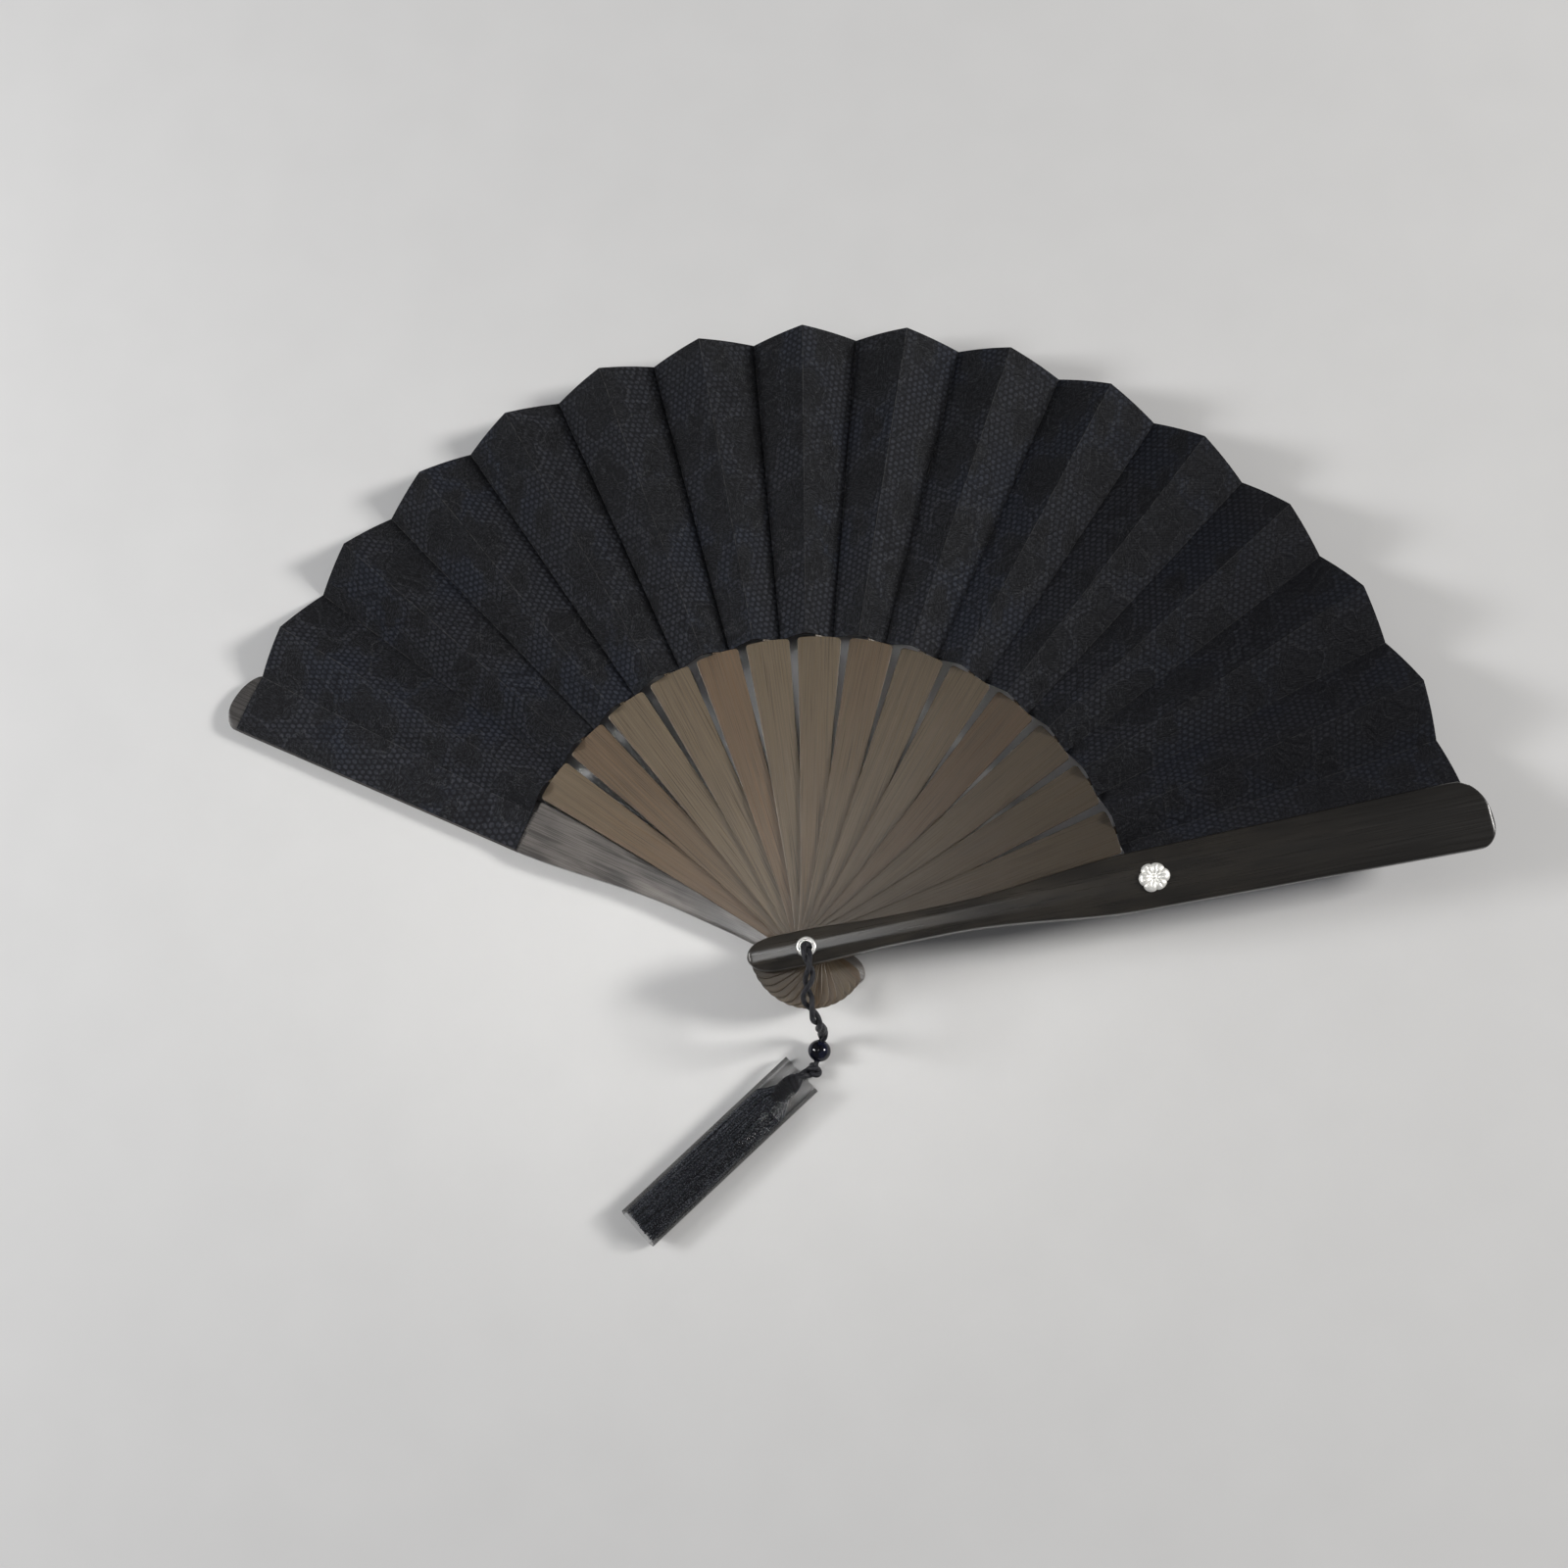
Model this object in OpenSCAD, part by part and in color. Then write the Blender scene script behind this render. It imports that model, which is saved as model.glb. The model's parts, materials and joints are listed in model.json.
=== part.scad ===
// Folding hand fan, lying open: pleated cloth leaf on fourteen bamboo ribs between two guards.
// The rivet's axis is Z and the rear guard's outer face lies on Z = 0. The leaf opens towards +Y,
// with the rear guard at the left, under everything, and the front guard at the right, on top.

/* [Fan] */
// Length of each guard, from its butt to its tip
guard_len = 210; // [206:1:216]
// Distance from the rivet's axis to the butt of each guard
butt_len = 17; // [16.5:0.5:19]
// Angle between the two guards when the fan is open
open_angle = 144.5; // [140:0.5:148]
// Distance from the leaf's outer edge to the guards' tips
leaf_inset = 5; // [4:0.5:8]
// Radial depth of the pleated leaf
leaf_len = 94.7; // [90:0.1:98]
// Angle of one leaf panel when it is laid flat
panel_angle = 6.02; // [5.8:0.02:6.2]

/* [Ribs] */
// Thickness of a rib's blade
rib_th = 0.8; // [0.6:0.05:0.85]
// Height from one rib to the next in the stack
stack_step = 1.05; // [1.02:0.01:1.2]
// Width of a rib's blade at its shoulder
rib_w = 13.1; // [11:0.1:13.4]
// Width of the thin tongue that carries the leaf
tongue_w = 2.4; // [1.6:0.1:2.6]

/* [Guards] */
// Thickness of a guard at the rivet
guard_th = 5.5; // [5.4:0.1:6.5]
// Thickness of a guard under the leaf
guard_leaf_th = 4; // [3.5:0.1:4.2]
// Width of a guard at its tip
guard_tip_w = 20; // [18:0.5:21]
// Width of a guard at its neck
guard_neck_w = 8.2; // [7.6:0.2:9.4]
// Radius of the crown across a guard's outer face, at its neck and butt
neck_crown_r = 8; // [7:0.5:12]
// Radius of the crown across a guard's outer face, at its tip
tip_crown_r = 42; // [36:1:60]

/* [Rivet and ornament] */
// Outside diameter of the hollow rivet's barrel
barrel_d = 4.2; // [4:0.05:4.3]
// Inside diameter of the hollow rivet's barrel
barrel_bore_d = 3.4; // [3.3:0.05:3.5]
// Outside diameter of the rivet's head
head_d = 5.6; // [5.5:0.1:6.6]
// Diameter of the flower ornament on the front guard
flower_d = 9; // [8:0.2:10]
// Distance from the rivet's axis to the flower's centre
flower_x = 98.4; // [96:0.2:104]

/* [Cord and tassel] */
// Diameter of the twisted cord
cord_d = 3.2; // [2.8:0.1:3.2]
// Diameter of the bead
bead_d = 6.6; // [6:0.1:6.6]
// Length of the clear sleeve around the tassel
sleeve_len = 64; // [60:1:70]
// Width of the clear sleeve
sleeve_w = 13.4; // [13:0.2:15]
// Height of the clear sleeve
sleeve_h = 6.8; // [6.6:0.1:8]

/* [Hidden] */
$fn = 48;

bamboo = [0.47, 0.41, 0.34];
ebony = [0.13, 0.11, 0.10];
grey_wood = [0.36, 0.34, 0.34];
navy = [0.08, 0.09, 0.14];
silver = [0.80, 0.80, 0.82];
black = [0.05, 0.05, 0.06];
clear_film = [0.80, 0.84, 0.86, 0.35];

// The fan's angles. Rib i lies rib_step * i clockwise of the rear guard.
rib_count = 14;
rib_step = open_angle / (rib_count + 1);
rear_azimuth = 90 + open_angle / 2;
front_azimuth = 90 - open_angle / 2;
function rib_azimuth(i) = rear_azimuth - rib_step * i;

// The fan's radii.
tip_r = guard_len - butt_len;
leaf_out_r = tip_r - leaf_inset;
leaf_in_r = leaf_out_r - leaf_len;
shoulder_r = leaf_in_r - 0.5;

// The stack's heights. Each rib's blade is centred on its own height.
running_gap = 0.35;
first_rib_z = guard_th + running_gap + rib_th / 2;
function rib_z(i) = first_rib_z + stack_step * (i - 1);
front_inner_z = rib_z(rib_count) + rib_th / 2 + running_gap;
front_outer_z = front_inner_z + guard_th;

// A pleat. A panel spans half a rib step in plan, so it leans by lean and its folds
// rise and fall by fold_rise per unit of radius.
lean = acos(tan(rib_step / 4) / tan(panel_angle / 2));
fold_rise = tan(asin(sin(panel_angle / 2) * sin(lean)));
leaf_th = 0.3;
leaf_glue_gap = 0.08;
fold_gap = 0.35;
panel_count = 2 * rib_count + 3;
glued_edge = 2.5;
glued_inset = 0.5;
rear_leaf_z = guard_leaf_th + leaf_glue_gap + leaf_th / 2;
front_leaf_z = front_outer_z - guard_leaf_th - leaf_glue_gap - leaf_th / 2;

// Outlines.
recess_r = leaf_in_r - 1.3;
butt_half_w = 5;
butt_round = 8.5;
rib_butt_half_w = 4;
rib_pivot_half_w = 3.6;
rib_neck_half_w = 3.1;
rib_neck_at = 18;
rib_flare_mix = 0.62;
rib_flare_power = 1.9;
rib_butt_len = butt_len - 0.5;
corner_r = 1.3;
shoulder_arch = 0.4;
barrel_running_gap = 0.08;
crown_flat = 0.15;
slice = 6;

// The rivet and the ornament.
flange_th = 0.6;
flange_z = 0.2;
flange_gap = 0.2;
head_h = 1.1;
head_seat_depth = 0.6;
head_gap = 0.1;
head_z = front_outer_z - head_seat_depth + head_gap;
barrel_end_z = head_z + 0.4;
petal_count = 6;
petal_h = 1.1;
petal_heart = 0.6;
petal_size = 0.4;
petal_at = 0.3;
flower_gap = 0.05;
stud_d = 2.6;
shank_d = 1.2;
shank_len = 2;
shank_gap = 0.1;
shank_slack = 0.04;
stud_gap = 0.02;

// The cord's centreline: up out of the rivet, over the butts' swing, and down to the bead.
cord_route = [
    [0, 0, 22], [0, 0, 25], [0, 0, 27], [0.1, -0.4, 28.6], [0.4, -1.4, 30], [0.9, -2.8, 31],
    [1.5, -4.4, 31.5], [2, -6.1, 31.4], [2.2, -7.8, 30.9], [2, -9.4, 30.3], [1.8, -11, 29.8],
    [1.8, -12.7, 29.5], [2.2, -14.3, 29.3], [2.9, -15.9, 29], [3.7, -17.4, 28.5],
    [4.5, -18.8, 27.5], [5.2, -20, 26.1], [5.7, -20.9, 24.4], [6, -21.4, 22.5],
    [6.2, -21.6, 20.5], [6.3, -21.7, 17.5], [6.3, -21.7, 14.5], [6.3, -21.8, 11.6],
    [6.3, -22.1, 8.9], [6.2, -22.8, 6.5], [6, -24.1, 4.7]
];
cord_sides = 8;
bead_at = [5.6, -27.4, 3.4];
knot_at = [4.6, -33.1, 2.5];
knot_d = 4.6;

// The tassel lies along its own axis, from its head to the ends of its threads.
tassel_from = [1.4, -34.6];
tassel_turn = 229.6;
film_th = 0.25;
neck_r = 1.2;
neck_len = 1.5;
head_r = 2.9;
head_from = -0.5;
head_full_at = 3.5;
head_to = 11.5;
skirt_in = 11.7;
skirt_short = 1.5;
skirt_sides = 24;
sleeve_slant = 1.2;
sleeve_knee = 2.2;
skirt_half_w = 5.7;
skirt_half_h = 2.8;

function ease(a, b, u) = a + (b - a) * (1 - cos(180 * max(0, min(1, u)))) / 2;
function lerp(a, b, u) = a + (b - a) * u;
function arc(cx, cy, r, from, to, steps) =
    [for (k = [0:steps]) let (a = lerp(from, to, k / steps)) [cx + r * cos(a), cy + r * sin(a)]];

// Half of a guard's width at a distance x from the rivet: butt, neck, flare and blade.
flare_half_w = 0.84 * guard_tip_w / 2;
neck_from = 25;
neck_to = 40;
flare_to = 98;
function guard_half_w(x) =
    x < neck_from ? ease(butt_half_w, guard_neck_w / 2, x / neck_from) :
    x < flare_to ? ease(guard_neck_w / 2, flare_half_w, (x - neck_to) / (flare_to - neck_to)) :
    lerp(flare_half_w, guard_tip_w / 2, (x - flare_to) / (tip_r - flare_to));

// A guard's outline has a long round butt and a tip with one wide and one tight corner. Each
// corner is a quarter of an oval, as [length along the guard, depth across it].
wide_corner = [8.5, 0.65 * guard_tip_w];
tight_corner = [4.8, 0.34 * guard_tip_w];
function oval(cx, cy, size, from, to, steps) =
    [for (p = arc(0, 0, 1, from, to, steps)) [cx + size.x * p.x, cy + size.y * p.y]];
module guard_outline() {
    xs = [for (x = [0:slice:tip_r - wide_corner.x - 2]) x];
    polygon(concat(
        [for (x = xs) [x, guard_half_w(x)]],
        oval(tip_r - tight_corner.x, guard_half_w(tip_r) - tight_corner.y, tight_corner, 90, 0, 6),
        oval(tip_r - wide_corner.x, wide_corner.y - guard_half_w(tip_r), wide_corner, 0, -90, 10),
        [for (k = [len(xs) - 1:-1:0]) [xs[k], -guard_half_w(xs[k])]],
        oval(butt_round - butt_len, 0, [butt_round, butt_half_w], -90, -270, 16)
    ));
}

// The crown across a guard's outer face is rounder at the neck and the butt than at the tip: a
// cylinder along the neck, and from there a cone lying on its side.
crown_turn = atan((tip_crown_r - neck_crown_r) / (tip_r - neck_to));
crown_apex_x = neck_to - neck_crown_r / tan(crown_turn);
crown_cone_h = 1.1 * (tip_r - crown_apex_x);
module neck_crown() {
    translate([-butt_len - 1, 0, neck_crown_r - crown_flat])
        rotate([0, 90, 0]) cylinder(r = neck_crown_r, h = butt_len + 1 + neck_to, $fn = 96);
}
module tip_crown() {
    translate([crown_apex_x, 0, -crown_flat])
        rotate([0, 90 - crown_turn, 0])
            cylinder(r1 = 0, r2 = crown_cone_h * tan(crown_turn), h = crown_cone_h, $fn = 96);
}
module guard_blank() {
    linear_extrude(guard_th) guard_outline();
}

// A guard with its crowned outer face down on Z = 0 and its tip along +X.
module guard() {
    difference() {
        union() {
            intersection() {
                guard_blank();
                neck_crown();
            }
            intersection() {
                guard_blank();
                tip_crown();
            }
        }
        translate([recess_r, -guard_tip_w, guard_leaf_th])
            cube([tip_r, 2 * guard_tip_w, guard_th]);
        translate([0, 0, -1])
            cylinder(d = barrel_d + 2 * barrel_running_gap, h = guard_th + 2);
    }
}

module rear_guard() {
    color(grey_wood)
        difference() {
            rotate(rear_azimuth) guard();
            translate([0, 0, -1]) cylinder(d = head_d + 2 * flange_gap, h = 1 + flange_z + flange_th + 0.1);
        }
}

module front_guard() {
    color(ebony)
        difference() {
            translate([0, 0, front_outer_z]) rotate([180, 0, front_azimuth]) guard();
            rotate(front_azimuth)
                translate([flower_x, 0, front_outer_z - shank_len]) cylinder(d = shank_d, h = shank_len + 1);
            translate([0, 0, front_outer_z - head_seat_depth])
                cylinder(d = head_d + 2 * flange_gap, h = head_seat_depth + 1);
        }
}

// A rib's blade has a round butt, a narrow neck, and square shoulders with an arched top.
module rib_outline() {
    shoulder = rib_w / 2;
    top_x = shoulder_r - shoulder_arch - corner_r;
    side = concat(
        [[0, rib_pivot_half_w]],
        [
            for (u = [0:0.2:0.9])
                let (flare = rib_flare_mix * u + (1 - rib_flare_mix) * pow(u, rib_flare_power))
                    [lerp(rib_neck_at, top_x, u), lerp(rib_neck_half_w, shoulder, flare)]
        ]
    );
    polygon(concat(
        side,
        arc(top_x, shoulder - corner_r, corner_r, 90, 15, 5),
        [[shoulder_r, 0]],
        arc(top_x, corner_r - shoulder, corner_r, -15, -90, 5),
        [for (k = [len(side) - 1:-1:0]) [side[k].x, -side[k].y]],
        arc(rib_butt_half_w - rib_butt_len, 0, rib_butt_half_w, -90, -270, 12)
    ));
}

// The tongue leans with the leaf panel that it carries, just behind it.
tongue_th = 0.4;
tongue_back = 0.6;
tongue_short = 3;
root_w = 0.8;
root_overlap = 1.3;
root_reach = 0.35;
root_rise = 0.1;
module tongue() {
    rotate([lean, 0, 0]) {
        translate([shoulder_r - root_overlap, -root_w / 2, root_rise - tongue_th])
            cube([root_overlap + root_reach, root_w, tongue_th]);
        translate([shoulder_r + root_rise, -tongue_w / 2, -tongue_back])
            cube([leaf_out_r - tongue_short - shoulder_r, tongue_w, tongue_th]);
    }
}

module rib(i) {
    color(bamboo)
        translate([0, 0, rib_z(i)]) rotate(rib_azimuth(i))
            difference() {
                union() {
                    translate([0, 0, -rib_th / 2]) linear_extrude(rib_th) rib_outline();
                    tongue();
                }
                cylinder(d = barrel_d + 2 * barrel_running_gap, h = 4 * rib_th, center = true);
            }
}

// The leaf's fold lines run from the rear guard to the front guard. Even lines are peaks
// and odd lines are valleys. The first and last pairs lie flat on the guards, and the leaf's ends
// follow the guards' edges.
function glued_back(r) = asin((guard_half_w(r) - glued_inset) / r);
function fold_azimuth(k, r) =
    k == 0 ? rear_azimuth + glued_back(r) :
    k == 1 ? rear_azimuth - glued_edge :
    k == panel_count - 1 ? front_azimuth + glued_edge :
    k == panel_count ? front_azimuth - glued_back(r) :
    rib_azimuth(floor(k / 2)) + (k % 2 == 0 ? 1 : -1) * rib_step / 4;
function fold_height(k, r) =
    k < 2 ? rear_leaf_z :
    k > panel_count - 2 ? front_leaf_z :
    rib_z(floor(k / 2)) + (k % 2 == 0 ? 1 : -1) * fold_rise * r;
function fold_point(k, r) =
    [r * cos(fold_azimuth(k, r)), r * sin(fold_azimuth(k, r)), fold_height(k, r)];

// Panel k lies between fold lines k and k + 1, and stops short of both.
module leaf_panel(k) {
    up = [0, 0, leaf_th / 2 / cos(k == 0 || k == panel_count - 1 ? 0 : lean)];
    function corner(r, from, to) =
        let (a = fold_point(from, r), b = fold_point(to, r)) a + (b - a) * fold_gap / norm(b - a);
    flat = [
        corner(leaf_in_r, k, k + 1), corner(leaf_out_r, k, k + 1),
        corner(leaf_out_r, k + 1, k), corner(leaf_in_r, k + 1, k)
    ];
    color(navy)
        polyhedron(
            points = concat([for (p = flat) p - up], [for (p = flat) p + up]),
            faces = [
                [0, 1, 2], [0, 2, 3], [4, 6, 5], [4, 7, 6],
                [0, 4, 5], [0, 5, 1], [1, 5, 6], [1, 6, 2],
                [2, 6, 7], [2, 7, 3], [3, 7, 4], [3, 4, 0]
            ]
        );
}

// The hollow rivet: a barrel with a flange sunk in the rear guard.
module rivet() {
    color(silver)
        difference() {
            union() {
                translate([0, 0, flange_z]) cylinder(d = head_d, h = flange_th);
                translate([0, 0, flange_z]) cylinder(d = barrel_d, h = barrel_end_z - flange_z);
            }
            cylinder(d = barrel_bore_d, h = 2 * front_outer_z);
        }
}

// The rivet's rolled head, clenched over the front guard.
module rivet_head() {
    ring_in = barrel_d / 2 + 0.02;
    ring_out = head_d / 2;
    lip = head_h / 2;
    color(silver)
        translate([0, 0, head_z])
            rotate_extrude()
                polygon(concat(
                    [[ring_in, 0], [ring_out, 0]],
                    arc(ring_out - lip, lip, lip, 0, 90, 6),
                    [[ring_in, head_h]]
                ));
}

module flower() {
    color(silver)
        rotate(front_azimuth) translate([flower_x, 0, front_outer_z + flower_gap])
            difference() {
                linear_extrude(petal_h)
                    union() {
                        circle(d = petal_heart * flower_d);
                        for (k = [0:petal_count - 1])
                            rotate(360 / petal_count * k)
                                translate([petal_at * flower_d, 0]) circle(d = petal_size * flower_d);
                    }
                translate([0, 0, -1]) cylinder(d = shank_d, h = petal_h + 2);
            }
}

module flower_stud() {
    seat = front_outer_z + flower_gap + petal_h + stud_gap;
    shank_from = front_outer_z - shank_len + shank_gap;
    color(silver)
        rotate(front_azimuth) translate([flower_x, 0, 0]) {
            translate([0, 0, shank_from])
                cylinder(d = shank_d - shank_slack, h = seat + stud_d / 8 - shank_from);
            translate([0, 0, seat]) intersection() {
                sphere(d = stud_d);
                cylinder(d = stud_d, h = stud_d);
            }
        }
}

// A tube swept along a route of points, with one ring of points at each.
module swept_tube(route, d) {
    last = len(route) - 1;
    function unit(v) = v / norm(v);
    function along(k) = unit(route[min(k + 1, last)] - route[max(k - 1, 0)]);
    function side(k) = unit(cross(along(k), [1, 0, 0]));
    points = [
        for (k = [0:last], j = [0:cord_sides - 1])
            let (a = 360 / cord_sides * j, s = side(k), t = cross(along(k), s))
                route[k] + d / 2 * (cos(a) * s + sin(a) * t)
    ];
    faces = concat(
        [[for (j = [0:cord_sides - 1]) cord_sides - 1 - j]],
        [
            for (k = [0:last - 1], j = [0:cord_sides - 1])
                let (n = (j + 1) % cord_sides, a = k * cord_sides, b = a + cord_sides)
                    [a + j, a + n, b + n, b + j]
        ],
        [[for (j = [0:cord_sides - 1]) last * cord_sides + j]]
    );
    polyhedron(points = points, faces = faces);
}

module cord() {
    color(black) swept_tube(cord_route, cord_d);
}

module bead() {
    color(black) translate(bead_at) sphere(d = bead_d);
}

module knot() {
    color(black) translate(knot_at) sphere(d = knot_d);
}

// Places its children in the tassel's frame, with +X along the tassel and Z up from the floor.
module at_tassel() {
    translate(tassel_from) rotate(tassel_turn) children();
}

// A length along +X whose cross-section, in Y and Z, is drawn by its child.
module run(length) {
    rotate([90, 0, 90]) linear_extrude(length) children();
}

// The tassel's head has a narrow neck where the cord comes in.
module tassel_head() {
    color(black)
        at_tassel() translate([0, 0, sleeve_h / 2])
            rotate([0, 90, 0]) rotate_extrude()
                polygon([
                    [0, head_from], [neck_r, head_from], [neck_r, head_from + neck_len],
                    [head_r, head_full_at], [head_r, head_to], [0, head_to]
                ]);
}

module tassel_skirt() {
    color(navy)
        at_tassel() translate([skirt_in, 0, sleeve_h / 2])
            run(sleeve_len - skirt_in - skirt_short)
                polygon([
                    for (k = [0:skirt_sides - 1])
                        let (a = 360 / skirt_sides * k) [skirt_half_w * cos(a), skirt_half_h * sin(a)]
                ]);
}

// Half of the sleeve's cross-section is a box with slanting sides.
module sleeve_section(inset) {
    half_w = sleeve_w / 2 - inset;
    flat_w = half_w - sleeve_slant;
    polygon([
        [-half_w, sleeve_knee], [-flat_w, inset], [flat_w, inset], [half_w, sleeve_knee],
        [half_w, sleeve_h - sleeve_knee], [flat_w, sleeve_h - inset],
        [-flat_w, sleeve_h - inset], [-half_w, sleeve_h - sleeve_knee]
    ]);
}

module tassel_sleeve() {
    color(clear_film)
        at_tassel()
            run(sleeve_len)
                difference() {
                    sleeve_section(0);
                    sleeve_section(film_th);
                }
}

rear_guard();
front_guard();
rib(1);  // rib_01
rib(2);  // rib_02
rib(3);  // rib_03
rib(4);  // rib_04
rib(5);  // rib_05
rib(6);  // rib_06
rib(7);  // rib_07
rib(8);  // rib_08
rib(9);  // rib_09
rib(10);  // rib_10
rib(11);  // rib_11
rib(12);  // rib_12
rib(13);  // rib_13
rib(14);  // rib_14
leaf_panel(0);  // leaf_00
leaf_panel(1);  // leaf_01
leaf_panel(2);  // leaf_02
leaf_panel(3);  // leaf_03
leaf_panel(4);  // leaf_04
leaf_panel(5);  // leaf_05
leaf_panel(6);  // leaf_06
leaf_panel(7);  // leaf_07
leaf_panel(8);  // leaf_08
leaf_panel(9);  // leaf_09
leaf_panel(10);  // leaf_10
leaf_panel(11);  // leaf_11
leaf_panel(12);  // leaf_12
leaf_panel(13);  // leaf_13
leaf_panel(14);  // leaf_14
leaf_panel(15);  // leaf_15
leaf_panel(16);  // leaf_16
leaf_panel(17);  // leaf_17
leaf_panel(18);  // leaf_18
leaf_panel(19);  // leaf_19
leaf_panel(20);  // leaf_20
leaf_panel(21);  // leaf_21
leaf_panel(22);  // leaf_22
leaf_panel(23);  // leaf_23
leaf_panel(24);  // leaf_24
leaf_panel(25);  // leaf_25
leaf_panel(26);  // leaf_26
leaf_panel(27);  // leaf_27
leaf_panel(28);  // leaf_28
leaf_panel(29);  // leaf_29
leaf_panel(30);  // leaf_30
rivet();
rivet_head();
flower();
flower_stud();
cord();
bead();
knot();
tassel_head();
tassel_skirt();
tassel_sleeve();
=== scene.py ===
"""The looks of an open folding fan: a pleated lace leaf on fourteen bamboo ribs between two dark
guards, with a hollow rivet, a flower ornament, a twisted cord, a bead and a sleeved tassel."""

import json
from math import acos, asin, atan2, cos, degrees, exp, pi, radians, sin, sqrt, tan, tau

import bpy
import numpy as np
from mathutils import Matrix, Vector


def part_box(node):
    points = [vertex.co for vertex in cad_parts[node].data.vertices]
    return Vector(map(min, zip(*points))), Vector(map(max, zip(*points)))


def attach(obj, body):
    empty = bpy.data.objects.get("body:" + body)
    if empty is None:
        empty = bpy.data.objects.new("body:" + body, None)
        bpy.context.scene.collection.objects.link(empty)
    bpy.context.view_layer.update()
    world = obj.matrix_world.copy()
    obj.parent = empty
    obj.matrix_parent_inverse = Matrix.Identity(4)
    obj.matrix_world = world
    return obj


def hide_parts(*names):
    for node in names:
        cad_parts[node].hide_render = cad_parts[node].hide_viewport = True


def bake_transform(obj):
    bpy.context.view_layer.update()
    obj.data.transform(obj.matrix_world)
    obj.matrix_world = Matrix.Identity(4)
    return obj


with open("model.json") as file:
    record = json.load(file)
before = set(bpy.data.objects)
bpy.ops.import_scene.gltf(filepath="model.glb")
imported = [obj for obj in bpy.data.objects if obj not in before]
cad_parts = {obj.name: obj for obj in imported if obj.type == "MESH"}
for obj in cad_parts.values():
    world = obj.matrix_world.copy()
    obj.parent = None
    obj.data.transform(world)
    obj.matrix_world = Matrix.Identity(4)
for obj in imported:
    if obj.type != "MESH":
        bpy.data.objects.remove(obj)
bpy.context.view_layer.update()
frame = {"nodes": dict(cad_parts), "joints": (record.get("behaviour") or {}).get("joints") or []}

MM = 0.001

# The fan's driving sizes, in metres and radians. Its frame has the rivet's axis along Z and the leaf
# towards +Y, with the rear guard at the left and the front guard at the right, on top.
RIB_COUNT = 14
SWING = next(j for j in frame["joints"] if j["name"] == "front_guard_swing")
OPEN_ANGLE = radians(SWING["range_deg"][1])
RIB_STEP = OPEN_ANGLE / (RIB_COUNT + 1)
REAR_AZIMUTH = (pi + OPEN_ANGLE) / 2
FRONT_AZIMUTH = (pi - OPEN_ANGLE) / 2
TIP_R = 193 * MM
BUTT_LEN = 17 * MM
LEAF_OUT_R = 188 * MM
LEAF_IN_R = 93.3 * MM
SHOULDER_R = 92.8 * MM
PANEL_ANGLE = radians(6.02)
PANEL_COUNT = 2 * RIB_COUNT + 3

GUARD_TH = 5.5 * MM
GUARD_LEAF_TH = 4 * MM
RIB_TH = 0.8 * MM
STACK_STEP = 1.05 * MM
FIRST_RIB_Z = 6.25 * MM
FRONT_OUTER_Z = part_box("front_guard")[1].z
LEAF_TH = 0.3 * MM
GLUE_GAP = 0.08 * MM
GLUED_EDGE = radians(2.5)
GLUED_BACK = radians(3.6)
GLUED_INSET = 0.5 * MM

LEAN = acos(tan(RIB_STEP / 4) / tan(PANEL_ANGLE / 2))
FOLD_RISE = tan(asin(sin(PANEL_ANGLE / 2) * sin(LEAN)))

# The cord's centreline: up out of the rivet, over the butts' swing, and down to the bead.
CORD_ROUTE = [
    (0, 0, 22), (0, 0, 25), (0, 0, 27), (0.1, -0.4, 28.6), (0.4, -1.4, 30), (0.9, -2.8, 31),
    (1.5, -4.4, 31.5), (2, -6.1, 31.4), (2.2, -7.8, 30.9), (2, -9.4, 30.3), (1.8, -11, 29.8),
    (1.8, -12.7, 29.5), (2.2, -14.3, 29.3), (2.9, -15.9, 29), (3.7, -17.4, 28.5),
    (4.5, -18.8, 27.5), (5.2, -20, 26.1), (5.7, -20.9, 24.4), (6, -21.4, 22.5),
    (6.2, -21.6, 20.5), (6.3, -21.7, 17.5), (6.3, -21.7, 14.5), (6.3, -21.8, 11.6),
    (6.3, -22.1, 8.9), (6.2, -22.8, 6.5), (6, -24.1, 4.7),
]
# From there it runs on through the bead and the knot, into the tassel's head.
CORD_INSIDE = [
    (5.6, -27.4, 3.4), (5.2, -30, 2.9), (4.8, -32, 2.6), (4.2, -33.4, 2.6), (2.9, -34.1, 2.9),
    (1.4, -34.9, 3.3), (0, -36.3, 3.4), (-1.8, -38.4, 3.4), (-4.4, -41.4, 3.4),
]
STRAND_D = 1.5 * MM
BEAD_AT = (5.6, -27.4, 3.4)
BEAD_D = 6.6 * MM
KNOT_AT = (4.6, -33.1, 2.5)
TASSEL_FROM = (1.4, -34.6, 0)
TASSEL_TURN = radians(229.6)
SLEEVE_LEN = 64 * MM
SLEEVE_W = 13.4 * MM
SLEEVE_H = 6.8 * MM


def metres(point):
    return Vector(point) * MM


def add_object(name, data):
    made = bpy.data.objects.new(name, data)
    bpy.context.scene.collection.objects.link(made)
    return made


# ---- camera

CAMERA_AT = (39.5, -46.2, 556.8)
CAMERA_TO = (-14.2, 49.7, 0)
CAMERA_UP = (-0.1037, 0.9785, 0.1785)
CAMERA_LENS = 43.755
SENSOR = 36


def make_camera():
    data = bpy.data.cameras.new("camera")
    data.lens = CAMERA_LENS
    data.sensor_width = SENSOR
    data.clip_start = 10 * MM
    camera = add_object("camera", data)
    back = (metres(CAMERA_AT) - metres(CAMERA_TO)).normalized()
    right = Vector(CAMERA_UP).cross(back).normalized()
    up = back.cross(right)
    turn = Matrix((right, up, back)).transposed().to_4x4()
    camera.matrix_world = Matrix.Translation(metres(CAMERA_AT)) @ turn
    bpy.context.scene.camera = camera


# ---- mesh tools


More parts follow.
